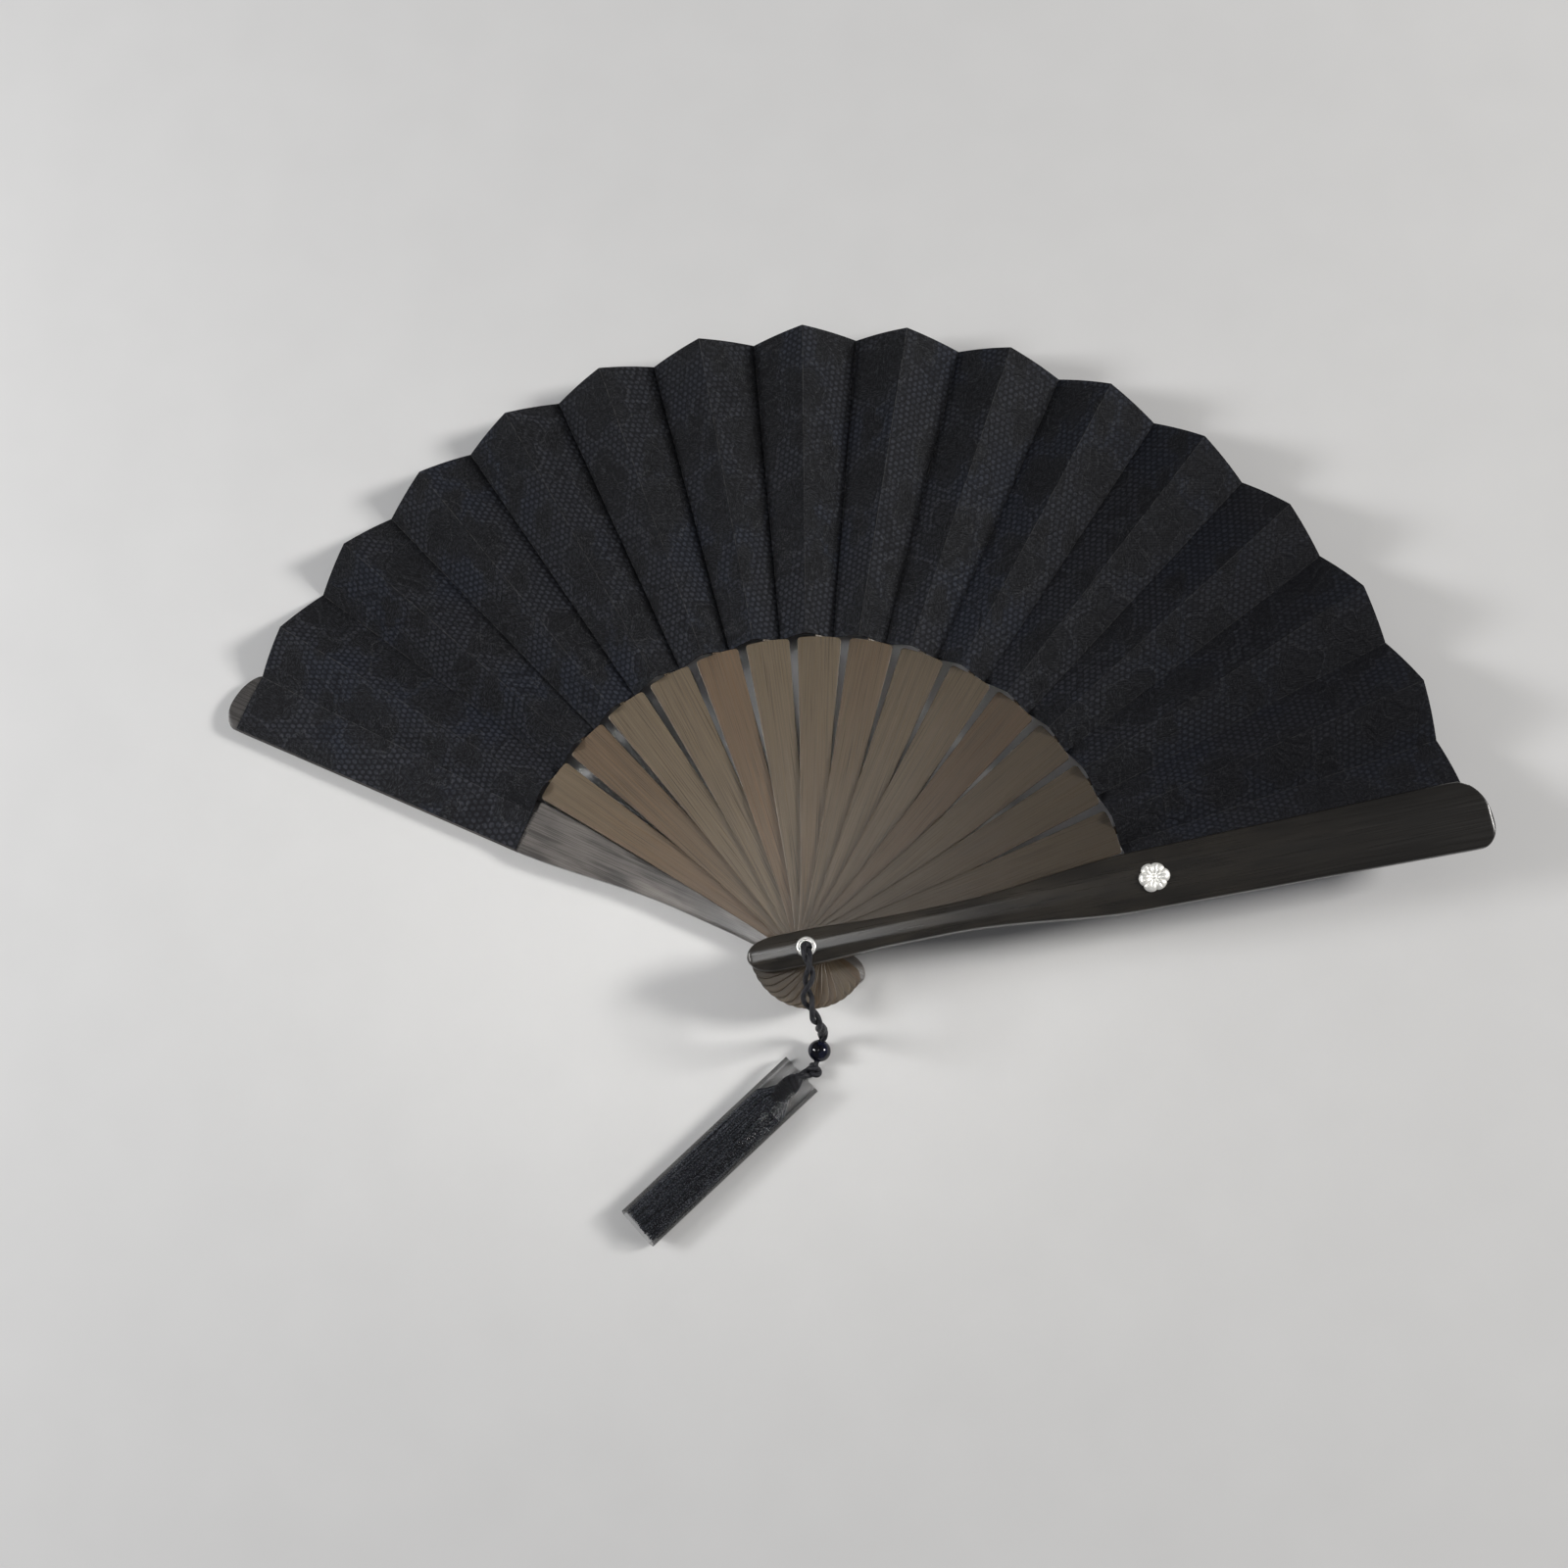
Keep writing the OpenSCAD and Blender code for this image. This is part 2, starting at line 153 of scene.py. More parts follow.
def new_piece(name, shape, material, placing=None, sharp=None):
    """A smooth mesh object of (points, faces), moved by a matrix. Edges sharper than so many
    degrees stay sharp."""
    points, faces = shape
    if placing is not None:
        points = placed(points, placing)
    mesh = bpy.data.meshes.new(name)
    mesh.from_pydata([tuple(p) for p in points], [], faces)
    mesh.validate()
    mesh.shade_smooth()
    if sharp is not None:
        mesh.set_sharp_from_angle(angle=radians(sharp))
    mesh.materials.append(material)
    return add_object(name, mesh)


def set_uv(piece, name, coordinates):
    """Gives every corner the coordinate of its vertex, in a UV map of that name."""
    mesh = piece.data
    corner_vertex = np.zeros(len(mesh.loops), np.int32)
    mesh.loops.foreach_get("vertex_index", corner_vertex)
    flat = np.array(coordinates, np.float32)[corner_vertex]
    mesh.uv_layers.new(name=name).data.foreach_set("uv", flat.ravel())


def finish_piece(piece, replaced, body="rear_guard"):
    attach(piece, body)
    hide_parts(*replaced)
    return piece


def loft(rings, ends="capped"):
    """(points, faces) of a skin through closed rings of equally many points. Its ends are capped,
    or the last ring is joined to the first."""
    count = len(rings[0])
    points = [p for ring in rings for p in ring]
    faces = []
    for k in range(len(rings) if ends == "joined" else len(rings) - 1):
        following = (k + 1) % len(rings) * count
        for j in range(count):
            n = (j + 1) % count
            faces.append((k * count + j, k * count + n, following + n, following + j))
    if ends == "capped":
        faces.append(tuple(reversed(range(count))))
        faces.append(tuple(range(len(points) - count, len(points))))
    return points, faces


def joined(parts):
    """Several (points, faces) pairs as one."""
    points, faces = [], []
    for part_points, part_faces in parts:
        start = len(points)
        points.extend(part_points)
        faces.extend(tuple(start + i for i in face) for face in part_faces)
    return points, faces


def length_along(line):
    steps = np.linalg.norm(np.diff(line, axis=0), axis=1)
    return np.concatenate([[0], np.cumsum(steps)])


def smooth_route(points, spacing):
    """The route again as an even, smooth line through its points."""
    points = np.array([tuple(p) for p in points], float)
    knots = length_along(points)
    slopes = np.gradient(points, knots, axis=0)
    at = np.linspace(0, knots[-1], max(2, round(knots[-1] / spacing)) + 1)
    k = np.clip(np.searchsorted(knots, at, side="right") - 1, 0, len(knots) - 2)
    span = (knots[k + 1] - knots[k])[:, None]
    t = (at - knots[k])[:, None] / span
    return (
        (2 * t**3 - 3 * t**2 + 1) * points[k]
        + (t**3 - 2 * t**2 + t) * span * slopes[k]
        + (3 * t**2 - 2 * t**3) * points[k + 1]
        + (t**3 - t**2) * span * slopes[k + 1]
    )


def frames_along(line):
    """Unit side and up vectors at each point of a line, turning as little as they can."""
    along = np.gradient(line, axis=0)
    along /= np.linalg.norm(along, axis=1)[:, None]
    side = np.cross(along[0], (1, 0, 0) if abs(along[0][0]) < 0.9 else (0, 1, 0))
    sides = []
    for direction in along:
        side = side - direction * (side @ direction)
        side = side / np.linalg.norm(side)
        sides.append(side)
    sides = np.array(sides)
    return sides, np.cross(along, sides)


def tube(line, radii, sides):
    """(points, faces) of a tube along a line, with one radius for each of its points."""
    side, up = frames_along(line)
    angles = tau * np.arange(sides) / sides
    radii = np.broadcast_to(radii, len(line))
    rings = [
        [line[k] + radii[k] * (cos(a) * side[k] + sin(a) * up[k]) for a in angles]
        for k in range(len(line))
    ]
    return loft(rings)


def lathe(profile, sides):
    """(points, faces) of a closed profile of (radius, height) turned about Z."""
    rings = []
    for k in range(sides):
        a = tau * k / sides
        rings.append([(r * cos(a), r * sin(a), z) for r, z in profile])
    return loft(rings, ends="joined")


def arc(centre, radius, start, end, steps):
    """Points of an arc about (x, y), from one angle in degrees to another."""
    angles = [radians(start + (end - start) * k / steps) for k in range(steps + 1)]
    return [(centre[0] + radius * cos(a), centre[1] + radius * sin(a)) for a in angles]


def placed(points, matrix):
    return [matrix @ Vector(p) for p in points]


def about_z(angle, height=0):
    return Matrix.Translation((0, 0, height)) @ Matrix.Rotation(angle, 4, "Z")


def facing(at, direction):
    """Turns Z to the direction and moves the origin to a point given in millimetres."""
    return Matrix.Translation(metres(at)) @ direction.to_track_quat("Z", "Y").to_matrix().to_4x4()


FAR = 100 * MM
DRILL_SIDES = 48
DRILLED_SHARP = radians(40)


def drill(piece, radius, low=-FAR):
    """Cuts a round hole about Z down through the piece, as far as a height of low, and marks the
    piece's sharp edges again."""
    ring = arc((0, 0), radius, 0, 360, DRILL_SIDES)[:-1]
    shape = loft([[(x, y, z) for x, y in ring] for z in (low, FAR)])
    cutter = new_piece("cutter", shape, piece.data.materials[0])
    cut = piece.modifiers.new("bore", "BOOLEAN")
    cut.operation = "DIFFERENCE"
    cut.object = cutter
    cut.solver = "EXACT"
    bpy.context.view_layer.update()
    drilled = piece.evaluated_get(bpy.context.evaluated_depsgraph_get())
    piece.data = bpy.data.meshes.new_from_object(drilled)
    piece.modifiers.clear()
    bpy.data.objects.remove(cutter)
    piece.data.set_sharp_from_angle(angle=DRILLED_SHARP)


# ---- materials

# Most noise scales are per metre. The lace's are per millimetre of flat cloth.


class Graph:
    """A material's nodes. Its methods add nodes and return a socket, or feed the shader."""

    def __init__(self, name, **finish):
        self.material = bpy.data.materials.new(name)
        self.material.use_nodes = True
        self.tree = self.material.node_tree
        self.shader = self.tree.nodes["Principled BSDF"]
        for socket, value in finish.items():
            self.shader.inputs[socket.replace("_", " ")].default_value = value

    def node(self, kind, inputs=(), output=0, **settings):
        made = self.tree.nodes.new("ShaderNode" + kind)
        for key, value in settings.items():
            setattr(made, key, value)
        for key, value in dict(inputs).items():
            if isinstance(value, bpy.types.NodeSocket):
                self.tree.links.new(value, made.inputs[key])
            else:
                made.inputs[key].default_value = value
        return made.outputs[output]

    def set(self, socket, value):
        self.tree.links.new(value, self.shader.inputs[socket])

    def uv(self, name):
        return self.node("UVMap", uv_map=name)

    def place(self):
        return self.node("TexCoord", output="Object")

    def math(self, operation, a, b=0, c=0):
        return self.node("Math", {0: a, 1: b, 2: c}, operation=operation)

    def plus(self, a, b):
        return self.math("ADD", a, b)

    def times(self, a, b):
        return self.math("MULTIPLY", a, b)

    def larger(self, a, b):
        return self.math("MAXIMUM", a, b)

    def away(self, value, middle):
        """How far the value is from the middle, either way."""
        return self.math("ABSOLUTE", self.math("SUBTRACT", value, middle))

    def weighed(self, a, b, share):
        """The share of a, and the rest of b."""
        return self.plus(self.times(a, share), self.times(b, 1 - share))

    def vector(self, operation, a, b=(0, 0, 0), output="Vector"):
        return self.node("VectorMath", {0: a, 1: b}, output, operation=operation)

    def scaled(self, vector, scale):
        """The vector times a number, or times three along its axes."""
        return self.vector("MULTIPLY", vector, scale if isinstance(scale, tuple) else (scale,) * 3)

    def parts(self, vector):
        return self.node("SeparateXYZ", {0: vector}).node.outputs

    def noise(self, vector, scale, detail=2, roughness=0.5):
        """Noise of one scale, or stretched by three along its axes."""
        if isinstance(scale, tuple):
            vector, scale = self.scaled(vector, scale), 1
        inputs = {"Vector": vector, "Scale": scale, "Detail": detail, "Roughness": roughness}
        return self.node("TexNoise", inputs)

    def warped(self, vector, scale, amount):
        """The vector pushed about by a noise, so that a regular pattern becomes hand-made."""
        noise = self.node("TexNoise", {"Vector": vector, "Scale": scale, "Detail": 1}, output="Color")
        centred = self.vector("SUBTRACT", noise, (0.5, 0.5, 0.5))
        return self.vector("ADD", vector, self.scaled(centred, amount))

    def step(self, value, low, high, to_low=0, to_high=1):
        """A smooth step from to_low, at low, to to_high, at high."""
        inputs = {"Value": value, "From Min": low, "From Max": high, "To Min": to_low, "To Max": to_high}
        return self.node("MapRange", inputs, interpolation_type="SMOOTHSTEP")

    def mix(self, amount, a, b):
        """Colour a where the amount is 0, and b where it is 1."""
        a, b = (c if isinstance(c, bpy.types.NodeSocket) else (*c, 1) for c in (a, b))
        return self.node("Mix", {0: amount, 6: a, 7: b}, 2, data_type="RGBA")

    def colour(self, amount, a, b):
        self.set("Base Color", self.mix(amount, a, b))

    def bump(self, height, distance, strength):
        inputs = {"Height": height, "Distance": distance, "Strength": strength}
        self.set("Normal", self.node("Bump", inputs))


# The lace, in millimetres of flat cloth. A notch is the share of a flower's radius that is lost
# between its petals. Painted shade darkens the cloth sideways, from FIRST_SHADED to LAST_SHADED.
NET_CELL = 1.9
NET_WARP = 0.5
BLOSSOM = {"size": 27, "petals": 5, "radius": 10.2, "notch": 0.38}
SPRIG = {"size": 15, "petals": 3, "radius": 4.6, "notch": 0.55}
SPRIG_STRETCH = 0.62
HATCH_PITCH = 0.75
FIRST_SHADED, LAST_SHADED = 20, 170


def hexagon_net(graph, cloth):
    """A wave with its tops on a triangular lattice: the holes of a hexagonal net."""
    k = 4 * pi / (sqrt(3) * NET_CELL)
    waves = []
    for angle in (0, 60, 120):
        direction = (k * cos(radians(angle)), k * sin(radians(angle)), 0)
        waves.append(graph.math("COSINE", graph.vector("DOT_PRODUCT", cloth, direction, "Value")))
    return graph.plus(graph.plus(waves[0], waves[1]), waves[2])


def net_holes(graph, cloth):
    """How much of the cloth below shows through soft-edged holes, some clearer than others."""
    net = hexagon_net(graph, graph.scaled(graph.warped(cloth, 0.55, NET_WARP * 1.5), (0.88, 1.04, 1)))
    uneven = graph.step(graph.noise(cloth, 0.7), 0.36, 0.64, 0.3, 1)
    return graph.times(graph.step(net, -1.35, 1.1), uneven)


def cell_polar(graph, cloth, size):
    """Distance and direction from the middle of a scattered cell, and two random numbers of it."""
    inputs = {"Vector": cloth, "Scale": 1 / size, "Randomness": 0.75}
    cell = graph.node("TexVoronoi", inputs, voronoi_dimensions="2D").node
    offset = graph.vector("SUBTRACT", cloth, cell.outputs["Position"])
    x, y, _ = graph.parts(offset)
    random_x, random_y, _ = graph.parts(cell.outputs["Color"])
    distance = graph.vector("LENGTH", offset, output="Value")
    return distance, graph.math("ARCTAN2", y, x), random_x, random_y


def band(graph, value, middle, half):
    """1 where the value is close to the middle, falling to 0 at a distance of half."""
    return graph.step(graph.away(value, middle), half / 2, half, 1, 0)


def blossom(graph, cloth, size, petals, radius, notch):
    """A flower's dense stitching, its corded outlines and the paler thread round it."""
    distance, angle, random_x, random_y = cell_polar(graph, cloth, size)
    turned = graph.math("MULTIPLY_ADD", angle, petals / 2, graph.times(random_x, pi))
    lobe = graph.math("ABSOLUTE", graph.math("COSINE", turned))
    reach = graph.math("MULTIPLY_ADD", graph.math("POWER", lobe, 0.6), radius * notch, radius * (1 - notch))
    reach = graph.times(reach, graph.math("MULTIPLY_ADD", random_y, 0.35, 0.8))
    share = graph.math("DIVIDE", distance, reach)
    inside = graph.step(share, 0.72, 1.16, 1, 0)
    rib = graph.times(graph.step(lobe, 0.05, 0.16, 1, 0), graph.step(share, 1, 0.95))
    cords = graph.larger(band(graph, share, 1, 0.09), band(graph, share, 0.36, 0.09))
    return inside, graph.larger(cords, rib), band(graph, share, 1.1, 0.07)


def lace_drawing(graph, cloth, soft):
    """The dense stitching, the cords and the paler edging of flowers, sprigs and vines."""
    bent = graph.warped(cloth, 0.12, 7)
    flower, flower_cords, flower_line = blossom(graph, bent, **BLOSSOM)
    sprig, sprig_cords, sprig_line = blossom(graph, graph.scaled(soft, (1, SPRIG_STRETCH, 1)), **SPRIG)
    vine = graph.away(graph.noise(bent, 0.055, 1), 0.5)
    cords = graph.larger(flower_cords, graph.times(sprig_cords, sprig))
    cords = graph.larger(cords, graph.step(vine, 0.01, 0.018, 1, 0))
    edging = graph.larger(graph.larger(flower_line, sprig_line), band(graph, vine, 0.024, 0.006))
    edging = graph.times(edging, graph.step(graph.noise(cloth, 1.5, 3), 0.46, 0.62))
    return graph.larger(flower, sprig), cords, edging


def stitching(graph, cloth, soft):
    """Short stitches, which lie across the leaf in some patches and along it in others."""
    across = graph.noise(soft, (0.8, 4.4, 1), 1)
    along = graph.noise(soft, (4.4, 0.8, 1), 1)
    strokes = graph.mix(graph.step(graph.noise(cloth, 0.14), 0.47, 0.53), across, along)
    stroke, _, _ = graph.parts(strokes)
    return graph.step(stroke, 0.44, 0.66)


def painted_fold_highlight(graph, cloth):
    """Painted highlight: pale lines in patches along the fold lines, where the creases catch light."""
    across, _, _ = graph.parts(graph.uv("panel"))
    fold = graph.step(graph.away(across, 0.5), 0.487, 0.499)
    return graph.times(fold, graph.step(graph.noise(cloth, 0.5), 0.35, 0.6))


def make_lace():
    """Black lace with a net ground and flowers, over dark cloth that shows through the net."""
    graph = Graph("lace", Roughness=0.7, Specular_IOR_Level=0.1)
    cloth = graph.scaled(graph.uv("cloth"), 1 / MM)
    soft = graph.warped(cloth, 0.18, NET_WARP * 4)
    holes = net_holes(graph, cloth)
    dense, cords, edging = lace_drawing(graph, cloth, soft)
    tint = graph.step(graph.noise(cloth, 0.03, 1), 0.46, 0.62)
    lit = graph.mix(tint, (0.034, 0.036, 0.044), (0.032, 0.036, 0.048))
    shade = graph.mix(tint, (0.0098, 0.0103, 0.0128), (0.0092, 0.0104, 0.0146))
    stitches = stitching(graph, cloth, soft)
    stitched = graph.mix(stitches, (0.0068, 0.0071, 0.0081), (0.0265, 0.0275, 0.0315))
    lace = graph.mix(graph.times(dense, 0.88), graph.mix(holes, shade, lit), stitched)
    lace = graph.mix(graph.times(cords, 0.35), lace, (0.006, 0.006, 0.007))
    lace = graph.mix(graph.times(edging, 0.3), lace, (0.075, 0.077, 0.082))
    # Painted highlight along the folds, laid over the lace.
    lace = graph.mix(graph.times(painted_fold_highlight(graph, cloth), 0.55), lace, (0.075, 0.075, 0.075))
    # Painted shade: the leaf grows darker towards its right side, where the front guard lies.
    sideways, row, _ = graph.parts(cloth)
    painted_side_shade = graph.step(sideways, FIRST_SHADED, LAST_SHADED, 0, 0.5)
    graph.colour(painted_side_shade, lace, (0.006, 0.006, 0.008))
    hatch = graph.math("SINE", graph.times(row, tau / HATCH_PITCH))
    hatch = graph.times(hatch, graph.noise(cloth, 0.6))
    height = graph.math("SUBTRACT", graph.times(cords, 0.9), graph.times(holes, 0.45))
    graph.bump(graph.plus(height, graph.times(hatch, 0.25)), 0.12 * MM, 0.8)
    return graph.material


LINING_PITCH = 0.5 * MM


def make_lining():
    """Plain navy cloth: the back of the leaf."""
    graph = Graph("lining", Roughness=0.6, Specular_IOR_Level=0.25)
    cloth = graph.uv("cloth")
    x, y, _ = graph.parts(graph.scaled(cloth, tau / LINING_PITCH))
    weave = graph.times(graph.math("SINE", x), graph.math("SINE", y))
    tone = graph.plus(graph.times(weave, 0.25), graph.noise(cloth, 60, 3))
    tone = graph.step(tone, 0.2, 0.9)
    graph.colour(tone, (0.01, 0.014, 0.05), (0.022, 0.032, 0.105))
    graph.bump(weave, 0.05 * MM, 0.6)
    return graph.material


# Each blade's grain starts this much further along, which tells the blades apart.
BLADE_UV_STEP = 0.61
# Painted shade begins at this blade.
FIRST_SHADED_BLADE = 4


def make_bamboo():
    """Smoked bamboo: long fine fibres, a tone of its own for each blade, and painted shade."""
    graph = Graph("bamboo")
    grain = graph.uv("grain")
    fibres = graph.noise(grain, (26, 6200, 1), 3, 0.6)
    bands = graph.noise(grain, (8, 1900, 1))
    darkness = graph.noise(grain, (1.9, 0.01, 1), 0)
    redness = graph.noise(grain, (2.7, 0.01, 5), 0)
    pale = graph.mix(graph.step(redness, 0.52, 0.66), (0.146, 0.113, 0.076), (0.14, 0.092, 0.057))
    deep = graph.mix(graph.step(darkness, 0.35, 0.65), (0.058, 0.044, 0.029), (0.076, 0.059, 0.039))
    tone = graph.weighed(fibres, bands, 0.75)
    wood = graph.mix(graph.step(tone, 0.3, 0.68), deep, pale)
    pores = graph.noise(grain, (40, 3000, 1), 1)
    wood = graph.mix(graph.step(pores, 0.58, 0.7, 0, 0.7), wood, (0.03, 0.022, 0.015))
    along, _, _ = graph.parts(grain)
    number = graph.math("ROUND", graph.math("DIVIDE", along, BLADE_UV_STEP))
    # Painted shade: the blades past the fourth grow darker one by one towards the front guard.
    painted_blade_shade = graph.step(number, FIRST_SHADED_BLADE, RIB_COUNT + 1, 0, 0.75)
    graph.colour(painted_blade_shade, wood, (0.02, 0.015, 0.01))
    graph.set("Roughness", graph.step(fibres, 0.3, 0.7, 0.38, 0.25))
    graph.bump(tone, 0.06 * MM, 0.8)
    return graph.material


def make_guard_wood(name, dark, light, roughness, coat):
    """Stained wood with long streaks, polished smooth, and painted shade towards its tip."""
    graph = Graph(name, Specular_IOR_Level=0.4, Coat_Weight=coat, Coat_Roughness=0.2)
    grain = graph.uv("grain")
    streaks = graph.noise(grain, (40, 2200, 1), 4, 0.6)
    clouds = graph.noise(grain, (45, 170, 1), 3)
    wood = graph.mix(graph.step(graph.weighed(streaks, clouds, 0.3), 0.36, 0.66), dark, light)
    along, _, _ = graph.parts(grain)
    # Painted shade: darker from 40 to 190 mm along, so the part near the pivot looks lit by its sheen.
    painted_tip_shade = tuple(0.6 * c for c in dark)
    graph.colour(graph.step(along, 0.04, 0.19, 0, 0.9), wood, painted_tip_shade)
    graph.set("Roughness", graph.step(streaks, 0.3, 0.75, roughness, roughness + 0.14))
    graph.bump(streaks, 0.05 * MM, 0.22)
    return graph.material


def make_metal(name, colour, roughness, metallic):
    """Bright metal with fine scratches and dulled patches."""
    graph = Graph(name, Metallic=metallic)
    place = graph.place()
    patches = graph.noise(place, 900, 3)
    scratches = graph.noise(place, (1500, 9000, 3000))
    dull = tuple(0.72 * c for c in colour)
    graph.colour(graph.step(patches, 0.45, 0.75, 0, 0.5), colour, dull)
    graph.set("Roughness", graph.step(scratches, 0.3, 0.7, roughness, roughness + 0.12))
    graph.bump(scratches, 0.02 * MM, 0.4)
    return graph.material


PLIES = 3
PLY_PITCH = 1.9 * MM


def make_cord_thread():
    """Black silk: the plies of a strand wind round it."""
    graph = Graph("cord_thread", Roughness=0.5, Specular_IOR_Level=0.35, Sheen_Weight=0.03)
    around, along, _ = graph.parts(graph.uv("strand"))
    wind = graph.plus(graph.times(around, PLIES), graph.math("DIVIDE", along, PLY_PITCH))
    ply = graph.math("ABSOLUTE", graph.math("SINE", graph.times(wind, pi)))
    fuzz = graph.noise(graph.place(), 9000)
    tone = graph.times(ply, graph.step(fuzz, 0.3, 0.7, 0.5, 1))
    graph.colour(tone, (0.003, 0.003, 0.005), (0.015, 0.016, 0.023))
    graph.bump(tone, 0.12 * MM, 0.9)
    return graph.material


def make_bead_glass():
    """Polished black bead with a deep blue cast."""
    graph = Graph("bead_glass", Roughness=0.07, Specular_IOR_Level=0.3, Coat_Weight=0.1, Coat_Roughness=0.03)
    cloud = graph.step(graph.noise(graph.place(), 350), 0.4, 0.7)
    graph.colour(cloud, (0.003, 0.003, 0.005), (0.007, 0.009, 0.022))
    return graph.material


def make_tassel_thread():
    """Dark navy threads and paler, fuzzy ones."""
    graph = Graph("tassel_thread", Roughness=0.62, Specular_IOR_Level=0.25, Sheen_Weight=0.06)
    thread = graph.uv("thread")
    own = graph.noise(thread, (8, 0, 1), 0)
    fuzz = graph.noise(graph.place(), 2300)
    navy = graph.mix(graph.step(own, 0.46, 0.6), (0.005, 0.006, 0.01), (0.022, 0.026, 0.036))
    graph.colour(graph.step(fuzz, 0.52, 0.6, 0, 0.9), navy, (0.125, 0.133, 0.155))
    graph.bump(fuzz, 0.15 * MM, 0.9)
    return graph.material


def make_film():
    """Clear film: only its gloss and a painted sheen show, most of all where it turns away."""
    graph = Graph("film", Roughness=0.1, Specular_IOR_Level=0.7)
    turned = graph.node("LayerWeight", {"Blend": 0.3}, output="Facing")
    # Painted sheen: the base colour pales where the film turns edge-on to the view.
    sheen = graph.step(turned, 0.5, 0.95)
    graph.colour(sheen, (0.01, 0.01, 0.01), (0.055, 0.054, 0.048))
    wrinkles = graph.noise(graph.place(), (140, 140, 60))
    graph.bump(wrinkles, 0.5 * MM, 0.5)
    amount = graph.step(turned, 0.1, 0.66, 0.07, 0.95)
    clear = graph.node("BsdfTransparent")
    shown = graph.node("MixShader", {0: amount, 1: clear, 2: graph.shader.outputs[0]})
    graph.tree.links.new(shown, graph.tree.nodes["Material Output"].inputs[0])
    return graph.material


def make_floor_material():
    graph = Graph("floor", Roughness=0.75, Specular_IOR_Level=0.3)
    grain = graph.noise(graph.place(), 40, 3)
    graph.colour(grain, (0.62, 0.62, 0.62), (0.66, 0.66, 0.66))
    return graph.material


# ---- cord, bead, knot

TWIST_PITCH = 13 * MM
STRAND_SPREAD = 0.78 * MM
LOOP_SPREAD = 0.42 * MM
LOOP_AT = 21 * MM
LOOP_HALF_LEN = 5 * MM
PINCH_LEAD = 1.2 * MM
PINCH = 0.24
TWIST_START = 0.35
CORD_SIDES = 14
CORD_STEP = 0.4 * MM


def pinched(line):
    """The share of its thickness that the cord keeps at each point, as it goes through the bead."""
    distance = np.linalg.norm(line - np.array(metres(BEAD_AT)), axis=1)
    return 1 - PINCH * np.clip((BEAD_D / 2 + PINCH_LEAD - distance) / PINCH_LEAD, 0, 1)


def strand_lines(line):
    """The two strands' centrelines, wound round each other, with a small loop open between them."""
    side, up = frames_along(line)
    along = length_along(line)
    loop = np.exp(-(((along - LOOP_AT) / LOOP_HALF_LEN) ** 2))
    spread = (STRAND_SPREAD + LOOP_SPREAD * loop) * pinched(line)
    for start in (TWIST_START, TWIST_START + pi):
        turn = start + tau * along / TWIST_PITCH
        yield line + spread[:, None] * (np.cos(turn)[:, None] * side + np.sin(turn)[:, None] * up)


def strand_uv(line, sides):
    """Round the strand and along it, for each point of its tube."""
    return [(j / sides, s) for s in length_along(line) for j in range(sides)]


def make_cord(material):
    route = smooth_route([metres(p) for p in CORD_ROUTE + CORD_INSIDE], CORD_STEP)
    strands, coordinates = [], []
    for line in strand_lines(route):
        strands.append(tube(line, STRAND_D / 2 * pinched(route), CORD_SIDES))
        coordinates += strand_uv(line, CORD_SIDES)
    cord = new_piece("twisted_cord", joined(strands), material)
    set_uv(cord, "strand", coordinates)
    return finish_piece(cord, ["cord"]), route


BEAD_MOUTH_R = 1.3 * MM
BEAD_BORE_R = 1.2 * MM
BEAD_RIM = 0.25 * MM
BEAD_FLATTENED = 0.96


def make_bead(material):
    """A slightly flattened bead, bored along the cord."""
    mouth = degrees(asin(BEAD_MOUTH_R / (BEAD_D / 2)))
    outside = arc((0, 0), BEAD_D / 2, mouth - 90, 90 - mouth, 28)
    top, bottom = outside[-1][1] - BEAD_RIM, outside[0][1] + BEAD_RIM
    points, faces = lathe(outside + [(BEAD_BORE_R, top), (BEAD_BORE_R, bottom)], 56)
    points = [(x, y, BEAD_FLATTENED * z) for x, y, z in points]
    into = metres(KNOT_AT) - metres(CORD_ROUTE[-1])
    bead = new_piece("glass_bead", (points, faces), material, facing(BEAD_AT, into), sharp=50)
    return finish_piece(bead, ["bead"])


KNOT_RING_R = 1.15 * MM
KNOT_WIND_R = 0.62 * MM
KNOT_HALF_H = 0.95 * MM
KNOT_STRAND_R = 0.78 * MM
KNOT_SIDES = 12


def make_knot(material):
    """An overhand knot on the cord, under the bead."""
    t = np.linspace(0, tau, 120, endpoint=False)
    out = KNOT_RING_R + KNOT_WIND_R * np.cos(3 * t)
    loop = np.stack([out * np.cos(2 * t), out * np.sin(2 * t), KNOT_HALF_H * np.sin(3 * t)], axis=1)
    loop = np.concatenate([loop, loop[:1]])
    towards = metres(TASSEL_FROM) - metres(BEAD_AT)
    towards.z = 0
    knotted = tube(loop, KNOT_STRAND_R, KNOT_SIDES)
    knot = new_piece("cord_knot", knotted, material, facing(KNOT_AT, towards))
    set_uv(knot, "strand", strand_uv(loop, KNOT_SIDES))
    return finish_piece(knot, ["knot"])


# ---- tassel

TASSEL_PLACING = Matrix.Translation(metres(TASSEL_FROM)) @ about_z(TASSEL_TURN)
HEAD_TOP = 0.6 * MM
HEAD_END = 11.6 * MM
HEAD_R = 2.75 * MM
HEAD_TOP_R = 1 * MM
HEAD_BOUND_R = 0.9 * HEAD_R
HEAD_SIDES = 72
HEAD_RINGS = 34
GATHERS = 24
GATHER_DEPTH = 0.045
BINDING_FROM = 5.6 * MM
BINDING_TURNS = 9
BINDING_D = 0.6 * MM
BINDING_SIDES = 8
AXIS_Z = SLEEVE_H / 2


